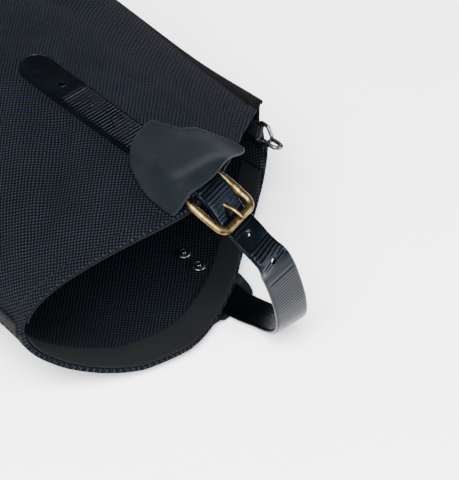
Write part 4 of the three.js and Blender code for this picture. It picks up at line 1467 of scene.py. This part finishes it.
def coated(name, dark, light, roughness=0.62):
    """Rubber-coated nylon: matt, with a pebbled grain of about 0.4 mm over faint ribs 0.9 mm apart and
    soft clouds of about 11 mm; raised grain and rib crowns are painted lighter as painted highlight."""
    made, tree, shader = new_material(name, Roughness=roughness, Specular_IOR_Level=0.07)
    place = add(tree, "UVMap", {}, uv_map="cloth")
    cloud = add(tree, "TexNoise", {"Vector": place, "Scale": 0.09, "Detail": 5.0})
    grain = add(tree, "TexVoronoi", {"Vector": place, "Scale": 2.3})
    along = add(tree, "SeparateXYZ", {0: place}, out=0)
    rib = add(
        tree,
        "Math",
        {0: add(tree, "Math", {0: along, 1: math.tau / 0.9}, operation="MULTIPLY")},
        operation="SINE",
    )
    height = add(tree, "Math", {0: rib, 1: 0.22, 2: grain}, operation="MULTIPLY_ADD")
    mixed = add(tree, "Math", {0: height, 1: 0.35, 2: cloud}, operation="MULTIPLY_ADD")
    # Painted highlight and shade: the colour follows the grain and ribs' height, lighter on the raised
    # grain and rib crowns and darker between them; the clouds are the coating's own uneven tone.
    painted_light_level = add(tree, "MapRange", {"Value": mixed, "From Min": 0.35, "From Max": 1.0})
    tone = add(tree, "Mix", {0: painted_light_level, 6: linear(dark), 7: linear(light)}, out=2, data_type="RGBA")
    tree.links.new(tone, shader.inputs["Base Color"])
    bump = add(tree, "Bump", {"Strength": 0.35, "Distance": 0.00012, "Height": height})
    tree.links.new(bump, shader.inputs["Normal"])
    return made


patch_cloth = coated("coated_fabric", "#030609", "#0b1013")
RIM_COUNT = 192
PATCH_RINGS = 30
rim = closed_line([Vector((x, y, 0)) for x, y in PATCH_OUTLINE], RIM_COUNT, 0.34)


def patch_rings(rim_points, centre, shares, top_at, under_at):
    """A closed radial sheet: the top rings from the centre out, then the underside."""
    near, far, uvs = [], [], []
    for share in shares:
        for p in rim_points:
            flat = centre.lerp(p, share)
            edge = (1 - share) * (p - centre).length
            sunk = round_in(edge, 0.8) * 0.6
            near.append(Vector((flat.x, flat.y, top_at(flat.x, flat.y) - sunk)))
            far.append(Vector((flat.x, flat.y, under_at(flat.x, flat.y) + sunk * 0.4)))
            uvs.append((flat.x, flat.y))
    count, rings = len(rim_points), len(shares)
    faces = []
    offset = count * rings
    for r in range(rings - 1):
        for c in range(count):
            d = (c + 1) % count
            a, b = r * count + c, r * count + d
            faces.append((a, a + count, b + count, b))
            faces.append((offset + a, offset + b, offset + b + count, offset + a + count))
    last = (rings - 1) * count
    for c in range(count):
        d = (c + 1) % count
        faces.append((last + c, offset + last + c, offset + last + d, last + d))
    faces.append(tuple(range(count)))
    faces.append(tuple(offset + c for c in reversed(range(count))))
    return near + far, faces, uvs + uvs


ring_shares = [0.03] + [k / PATCH_RINGS for k in range(1, PATCH_RINGS)] + [0.985, 0.993, 1.0]
points, faces, uvs = patch_rings(rim, PATCH_CENTRE, ring_shares, patch_top, patch_under_soft)
buckle_patch = mesh_piece(
    "buckle_patch_cover", [metres(*p) for p in points], faces, patch_cloth, uvs
)
face_out(buckle_patch)


def patch_spot(flat, lift=0.0):
    """A place on the patch's outer face and the way out of it."""
    x, y = flat.x, flat.y
    slope_x = (patch_top(x + 0.5, y) - patch_top(x - 0.5, y)) / 1.0
    slope_y = (patch_top(x, y + 0.5) - patch_top(x, y - 0.5)) / 1.0
    return Vector((x, y, patch_top(x, y) + lift)), Vector((-slope_x, -slope_y, 1)).normalized()


def inset_line(start, end):
    """Places inside the rim, from one share of the way round it to another."""
    line = []
    for k in range(int(start * RIM_COUNT), int(end * RIM_COUNT) + 1):
        p = rim[k % RIM_COUNT]
        before, after = rim[(k - 2) % RIM_COUNT], rim[(k + 2) % RIM_COUNT]
        way = (after - before).normalized()
        line.append(patch_spot(p + Vector((-way.y, way.x, 0)) * STITCH_INSET, -0.05))
    return line


for row, (start, end) in enumerate(((0.36, 0.70), (0.86, 1.07))):
    stitches = stitch_row(
        f"patch_stitches_{row}", inset_line(start, end), thread_black, 2.2, 3.0, 0.30, 0.12
    )
    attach(stitches, "shaft")
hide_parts("buckle_patch")
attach(buckle_patch, "shaft")


# ---------------------------------------------------------------------------
# Inner patch: coated cloth over the strap's riveted end, sewn round its edge and
# open where the strap goes in.
# ---------------------------------------------------------------------------
INNER_OUTLINE = (
    (30, 40),
    (56, 43.5),
    (79, 46),
    (88, 50),
    (90, 62),
    (88, 88),
    (84, 99),
    (75, 102),
    (40, 98),
    (22, 90),
    (14, 72),
    (14, 55),
    (20, 43),
)
INNER_CENTRE = Vector((52, 71, 0))
INNER_OUT_Z = -50.2
INNER_SHEET = 1.2
RIVET_SPOTS = ((75, 78), (75, 90))
MOUTH_X = 76
STITCH_TURN = 12


def inner_rise(x, y):
    """0 where the patch covers the strap's end, 1 where it is sewn down to the panel."""
    best = min((p - Vector((x, y, 0))).length for p in inner_rim)
    open_mouth = ease(abs(x - MOUTH_X), 11, 15) if y < 60 else 1.0
    return (1 - ease(best, 0.5, 7.0)) * open_mouth


inner_rim = closed_line([Vector((x, y, 0)) for x, y in INNER_OUTLINE], 120, 0.3)


def inner_face(x, y):
    """The inner patch's outer face, measured away from the leg."""
    return -(INNER_OUT_Z + 2.4 * inner_rise(x, y))


points, faces, uvs = patch_rings(
    inner_rim,
    INNER_CENTRE,
    [0.03, 0.2, 0.4, 0.6, 0.7, 0.76, 0.82, 0.87, 0.91, 0.95, 0.975, 0.99, 1.0],
    inner_face,
    lambda x, y: inner_face(x, y) - INNER_SHEET,
)
inner_patch = mesh_piece(
    "inner_patch_cover", [metres(p.x, p.y, -p.z) for p in points], faces, patch_cloth, uvs
)
face_out(inner_patch)
inner_seam = []
for i, p in enumerate(inner_rim):
    before, after = inner_rim[i - 1], inner_rim[(i + 1) % len(inner_rim)]
    way = (after - before).normalized()
    spot = p + Vector((-way.y, way.x, 0)) * STITCH_INSET
    if not (64 < spot.x < 88 and spot.y < 56):
        inner_seam.append(
            (Vector((spot.x, spot.y, -inner_face(spot.x, spot.y))), Vector((0, 0, -1)))
        )
gaps = [(inner_seam[i][0] - inner_seam[i - 1][0]).length for i in range(len(inner_seam))]
turn = next(i for i, gap in enumerate(gaps) if gap > STITCH_TURN)
inner_seam = inner_seam[turn:] + inner_seam[:turn]
inner_stitches = stitch_row("inner_patch_stitches", inner_seam, thread_black, 2.2, 3.0, 0.28)
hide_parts("inner_patch")
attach(inner_patch, "shaft")
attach(inner_stitches, "shaft")


# ---------------------------------------------------------------------------
# Strap rivets: two plated rivets, turned in one piece with domed heads just inside
# the inner patch, and the pressed washers that they are closed over inside the leg.
# ---------------------------------------------------------------------------
def plated(name, dark, light):
    """Nickel-plated steel: grey and bright, with rubbed marks of about 2 mm."""
    made, tree, shader = new_material(name, Metallic=1.0, Roughness=0.3)
    place = add(tree, "TexCoord", {}, out=3)
    marks = add(tree, "TexNoise", {"Vector": place, "Scale": 500.0, "Detail": 5.0})
    tone = add(tree, "Mix", {0: marks, 6: linear(dark), 7: linear(light)}, out=2, data_type="RGBA")
    tree.links.new(tone, shader.inputs["Base Color"])
    rough = add(
        tree,
        "MapRange",
        {"Value": marks, "From Min": 0.3, "From Max": 0.7, "To Min": 0.22, "To Max": 0.4},
    )
    tree.links.new(rough, shader.inputs["Roughness"])
    bump = add(tree, "Bump", {"Strength": 0.2, "Distance": 0.00004, "Height": marks})
    tree.links.new(bump, shader.inputs["Normal"])
    return made


def lathe(name, profile, place, material, sides=48):
    """A turned piece. profile is (radius, height) in mm from the axis and back to it, and place maps it
    to leg mm."""
    points, faces = [], []
    rings = [p for p in profile if p[0] > 1e-6]
    for radius, height in rings:
        for k in range(sides):
            a = math.tau * k / sides
            points.append(metres(*place(radius * math.cos(a), radius * math.sin(a), height)))
    for r in range(len(rings) - 1):
        for k in range(sides):
            d = (k + 1) % sides
            faces.append((r * sides + k, r * sides + d, (r + 1) * sides + d, (r + 1) * sides + k))
    low, high = len(points), len(points) + 1
    points.append(metres(*place(0, 0, profile[0][1])))
    points.append(metres(*place(0, 0, profile[-1][1])))
    last = (len(rings) - 1) * sides
    for k in range(sides):
        d = (k + 1) % sides
        faces.append((low, d, k))
        faces.append((high, last + k, last + d))
    made = mesh_piece(name, points, faces, material)
    face_out(made)
    return made


def ring_piece(name, profile, place, material, sides=48):
    """A turned ring. profile is a closed loop of (radius, height) in mm."""
    points, faces = [], []
    count = len(profile)
    for k in range(sides):
        a = math.tau * k / sides
        points += [metres(*place(r * math.cos(a), r * math.sin(a), h)) for r, h in profile]
    for k in range(sides):
        d = (k + 1) % sides
        for i in range(count):
            j = (i + 1) % count
            faces.append((k * count + i, k * count + j, d * count + j, d * count + i))
    made = mesh_piece(name, points, faces, material)
    face_out(made)
    return made


nickel = plated("plated_steel", "#3c3f42", "#63676b")
for number, (x, y) in enumerate(RIVET_SPOTS, 1):
    head = lathe(
        f"rivet_{number}",
        [
            (0, -50.95),
            (1.6, -50.92),
            (2.8, -50.8),
            (3.6, -50.55),
            (3.95, -50.25),
            (3.9, -50.0),
            (1.5, -49.9),
            (1.5, -41.9),
            (1.35, -41.65),
            (0.9, -41.5),
            (0, -41.45),
        ],
        lambda dx, dy, dz, x=x, y=y: (x + dx, y + dy, dz),
        nickel,
    )
    washer = ring_piece(
        f"burr_{number}",
        [
            (1.75, -43.15),
            (3.7, -43.15),
            (4.0, -42.95),
            (4.0, -42.75),
            (3.6, -42.3),
            (2.4, -42.05),
            (1.75, -42.15),
        ],
        lambda dx, dy, dz, x=x, y=y: (x + dx, y + dy, dz),
        nickel,
    )
    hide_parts(f"strap_rivet_{number}")
    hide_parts(f"rivet_washer_{number}")
    for piece in (head, washer):
        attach(piece, "shaft")


# ---------------------------------------------------------------------------
# Press stud at the top of the flap: turned and pressed pieces, a domed cap and a
# socket on the flap, and a stud with its back ring on the underlap.
# ---------------------------------------------------------------------------
SNAP_ANGLE = 49
SNAP_SHARE = 0.95
SNAP_LIFT = 0.6
SNAP_STEM = 1.8

snap_at, snap_out = on_shaft(SNAP_ANGLE, SNAP_SHARE)
snap_up = (Vector((0, 1, 0)) - snap_out * snap_out.y).normalized()
snap_round = snap_up.cross(snap_out)


def snap_spot(dx, dy, dz):
    """A place in leg mm, from the stud's centre on the flap: round the leg, up it and out."""
    return snap_at + snap_round * dx + snap_up * dy + snap_out * dz


socket_z = -2.0 - SNAP_LIFT
stud_z = -STACK_UNDER + SNAP_LIFT
back_z = stud_z - 2 * SNAP_LIFT - 2.0
snap_cap = lathe(
    "press_stud_cap",
    [
        (0, socket_z + 0.35),
        (SNAP_STEM - 0.3, socket_z + 0.4),
        (SNAP_STEM, socket_z + 0.8),
        (SNAP_STEM, 0.2),
        (5.0, 0.15),
        (5.9, 0.45),
        (6.1, 0.85),
        (5.9, 1.25),
        (5.3, 1.6),
        (4.2, 1.75),
        (3.6, 1.7),
        (3.2, 1.72),
        (1.6, 1.84),
        (0, 1.87),
    ],
    snap_spot,
    nickel,
)
snap_socket = ring_piece(
    "press_stud_socket",
    [
        (1.95, socket_z - 0.1),
        (2.3, socket_z - 0.05),
        (4.6, socket_z - 0.1),
        (5.3, socket_z - 0.35),
        (5.4, socket_z - 0.7),
        (5.1, socket_z - 1.05),
        (4.2, socket_z - 1.2),
        (2.6, socket_z - 1.1),
        (2.0, socket_z - 0.85),
        (1.85, socket_z - 0.5),
    ],
    snap_spot,
    nickel,
)
snap_stud = lathe(
    "press_stud_post",
    [
        (0, back_z + 0.3),
        (SNAP_STEM, back_z + 0.32),
        (SNAP_STEM, stud_z),
        (4.5, stud_z),
        (4.95, stud_z + 0.2),
        (4.9, stud_z + 0.45),
        (4.2, stud_z + 0.68),
        (2.0, stud_z + 0.7),
        (0, stud_z + 0.7),
    ],
    snap_spot,
    nickel,
)
snap_back = lathe(
    "press_stud_back",
    [
        (0, back_z - 0.8),
        (3.6, back_z - 0.8),
        (4.6, back_z - 0.65),
        (5.0, back_z - 0.35),
        (4.9, back_z - 0.05),
        (4.4, back_z),
        (0, back_z),
    ],
    snap_spot,
    nickel,
)
for piece, node, body in (
    (snap_cap, "snap_cap", "flap"),
    (snap_socket, "snap_socket", "flap"),
    (snap_stud, "snap_stud", "shaft"),
    (snap_back, "snap_stud_back", "shaft"),
):
    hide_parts(node)
    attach(piece, body)


# ---------------------------------------------------------------------------
# Cam buckle: a moulded body of a base and two cheeks, a steel pin across them, and
# a lever with a toothed cam and ridged thumb end.
# ---------------------------------------------------------------------------
CAM_WALL = 1.6
CAM_INNER_HALF = 8.1
CAM_OUTER_HALF = CAM_INNER_HALF + CAM_WALL
LEVER_END = 15.0


def moulded(name, dark, light):
    """Injection-moulded acetal: black, half matt, with a spark-eroded grain of about 0.6 mm."""
    made, tree, shader = new_material(name, Roughness=0.42, Specular_IOR_Level=0.25)
    place = add(tree, "TexCoord", {}, out=3)
    speckle = add(tree, "TexNoise", {"Vector": place, "Scale": 1600.0, "Detail": 3.0})
    tone = add(
        tree, "Mix", {0: speckle, 6: linear(dark), 7: linear(light)}, out=2, data_type="RGBA"
    )
    tree.links.new(tone, shader.inputs["Base Color"])
    bump = add(tree, "Bump", {"Strength": 0.3, "Distance": 0.00005, "Height": speckle})
    tree.links.new(bump, shader.inputs["Normal"])
    return made


acetal = moulded("moulded_plastic", "#030304", "#08090b")


def extruded(name, profile, half_from, half_to, place, material, bevel=0.35):
    """A profile in the cam buckle's (x, z) plane, pulled between two y places, with rounded edges."""
    count = len(profile)
    points = [metres(*place(x, y, z)) for y in (half_from, half_to) for x, z in profile]
    faces = [tuple(range(count)), tuple(count + k for k in reversed(range(count)))]
    faces += [(k, count + k, count + (k + 1) % count, (k + 1) % count) for k in range(count)]
    made = mesh_piece(name, points, faces, material)
    face_out(made)
    bpy.ops.object.select_all(action="DESELECT")
    bpy.context.view_layer.objects.active = made
    made.select_set(True)
    rounding = made.modifiers.new("rounding", "BEVEL")
    rounding.width = bevel / 1000
    rounding.segments = 3
    rounding.limit_method = "ANGLE"
    rounding.angle_limit = math.radians(28)
    bpy.ops.object.modifier_apply(modifier=rounding.name)
    return made


def cam_place(x, y, z):
    """The same place from the middle of the cam buckle's base."""
    return cam_spot(x - CAM_PIN_X, y, z - CAM_PIN_Z)


def joined(name, *pieces):
    """One object made of several, with edges sharper than 40 degrees kept crisp."""
    bpy.ops.object.select_all(action="DESELECT")
    for piece in pieces:
        piece.select_set(True)
    bpy.context.view_layer.objects.active = pieces[0]
    if len(pieces) > 1:
        bpy.ops.object.join()
    bpy.ops.object.shade_smooth_by_angle(angle=math.radians(40))
    made = bpy.context.object
    made.name = name
    return made


base_profile = [(-11, 0), (11, 0), (11, 1.6), (8, 1.6), (-8, 1.6), (-11, 1.6)]
cheek_profile = [(-8, 0.8), (4, 0.8), (4, 3.0), (1.6, 6.2)]
cheek_profile += [
    (
        CAM_PIN_X + 3.4 * math.cos(math.radians(a)),
        CAM_PIN_Z - 0.5 + 3.4 * math.sin(math.radians(a)),
    ) for a in range(20, 170, 15)
]
cheek_profile += [(-8, 4.2)]
cam_body = joined(
    "cam_buckle_shell",
    extruded("cam_base", base_profile, -CAM_OUTER_HALF, CAM_OUTER_HALF, cam_place, acetal, 0.5),
    extruded("cam_cheek_low", cheek_profile, -CAM_OUTER_HALF, -CAM_INNER_HALF, cam_place, acetal),
    extruded("cam_cheek_high", cheek_profile, CAM_INNER_HALF, CAM_OUTER_HALF, cam_place, acetal),
)
pin_profile = [
    (0, -CAM_OUTER_HALF - 0.15), (0.9, -CAM_OUTER_HALF - 0.15), (1.2, -CAM_OUTER_HALF + 0.1)
]
pin_profile += [
    (1.2, CAM_OUTER_HALF - 0.1), (0.9, CAM_OUTER_HALF + 0.15), (0, CAM_OUTER_HALF + 0.15)
]
cam_pin = lathe(
    "cam_buckle_axle", pin_profile, lambda dx, dy, dz: cam_place(
        CAM_PIN_X + dx, dz, CAM_PIN_Z + dy
    ), nickel, sides=28
)
lever_half = CAM_INNER_HALF - 0.3
lever_profile = []
for k in range(12):
    a = math.radians(110 + k * 18)
    tooth = 2.55 if k % 2 else 2.2
    lever_profile.append((CAM_PIN_X + tooth * math.cos(a), CAM_PIN_Z + 0.35 + tooth * math.sin(a)))
lever_profile += [(0.5, 6.4), (LEVER_END - 2.4, 6.4), (LEVER_END - 0.6, 6.9), (LEVER_END, 7.7)]
for k in range(6):
    x = LEVER_END - 0.9 - k * 1.5
    lever_profile += [(x, 8.45), (x - 0.5, 8.05), (x - 1.0, 8.05)]
lever_profile += [(3.0, 8.2), (CAM_PIN_X + 0.5, 8.2)]
cam_lever = joined(
    "cam_buckle_thumb", extruded(
        "cam_lever_block", lever_profile, -lever_half, lever_half, cam_place, acetal, 0.18
    )
)
for piece, node, slot, body in (
    (cam_body, "cam_buckle_body", "moulded_plastic", "shaft"),
    (cam_pin, "cam_buckle_pin", "steel_trim", "shaft"),
    (cam_lever, "cam_buckle_lever", "moulded_plastic", "cam_lever"),
):
    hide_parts(node)
    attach(piece, body)


# ---------------------------------------------------------------------------
# Lace hook: bent plated wire that turns in a webbing tab on the underlap's lower
# edge.
# ---------------------------------------------------------------------------
HOOK_PIVOT = Vector((0.08923, -0.11128, 0.04623))
HOOK_X = Vector((-0.23774, 0.0, -0.97133))
HOOK_Y = Vector((-0.12990, 0.99102, 0.03179))
HOOK_Z = Vector((0.96260, 0.13373, -0.23561))
WIRE = 1.1
HOOK_HALF = 5.5
HOOK_REACH = 17


def hook_spot(x, y, z):
    """A place in leg mm, from the lace hook's pivot and its own axes."""
    return (HOOK_PIVOT + (HOOK_X * x + HOOK_Y * y + HOOK_Z * z) / 1000) * 1000 - LEG_ORIGIN


def wire(name, spots, count, material, radius=WIRE):
    """Round wire bent through the spots, with its ends rounded off."""
    path, _ = catmull([hook_spot(*s) for s in spots], count)
    axes = []
    for i in range(count + 1):
        tangent = (path[min(count, i + 1)] - path[max(0, i - 1)]).normalized()
        hint = HOOK_Z if abs(tangent.dot(HOOK_Z)) < 0.8 else HOOK_X
        one = tangent.cross(hint).normalized()
        axes.append((one, tangent.cross(one).normalized()))
    sizes = []
    for i in range(count + 1):
        end = min(i, count - i)
        r = radius * (0.6, 0.85, 1.0)[min(2, end)]
        sizes.append((r, r))
    return swept(name, path, axes, sizes, material, closed=False, sides=16)


hook_wire = joined(
    "lace_hook_wire",
    wire(
        "hook_frame",
        [
            (1.1, -9.4, 0),
            (2.0, -8.4, 0),
            (HOOK_HALF - 0.4, -5.2, 0),
            (HOOK_HALF, -3.5, 0),
            (HOOK_HALF - 0.1, -0.9, 0),
            (HOOK_HALF - 1.2, 0, 0),
            (0, 0, 0),
            (-HOOK_HALF + 1.2, 0, 0),
            (-HOOK_HALF + 0.1, -0.9, 0),
            (-HOOK_HALF, -3.5, 0),
            (-HOOK_HALF + 0.4, -5.2, 0),
            (-2.0, -8.4, 0),
            (-1.1, -9.4, 0),
        ],
        110,
        nickel,
    ),
    wire(
        "hook_bend",
        [
            (0, -8.2, 0),
            (0, -HOOK_REACH + 3, 0),
            (0, -HOOK_REACH + 0.6, -0.7),
            (0, -HOOK_REACH, -2.5),
            (0, -HOOK_REACH + 1.4, -4.7),
            (0, -HOOK_REACH + 4, -5.5),
            (0, -HOOK_REACH + 8, -5.6),
        ],
        60,
        nickel,
        WIRE * 1.05,
    ),
)
TAB_EYE = WIRE + 0.4 + 0.5
tab_line = [(14, 0.6), (9, 0.6), (4, 0.9)]
tab_line += [
    (
        -TAB_EYE * math.sin(math.radians(a)) + 0.2, TAB_EYE * math.cos(math.radians(a))
    ) for a in range(0, 181, 20)
]
tab_line += [(3, -TAB_EYE + 0.3), (8, -0.75), (14, -0.75)]
tab_path, _ = catmull([hook_spot(0, y, z + 0.15) for y, z in tab_line], 110)
lace_tab = strip(
    "lace_hook_loop",
    stations_on(tab_path, lambda at, tangent: HOOK_X),
    7.8,
    0.9,
    web_cloth,
    edge=0.3,
)
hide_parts("lace_hook")
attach(hook_wire, "lace_hook")
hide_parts("lace_hook_tab")
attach(lace_tab, "shaft")
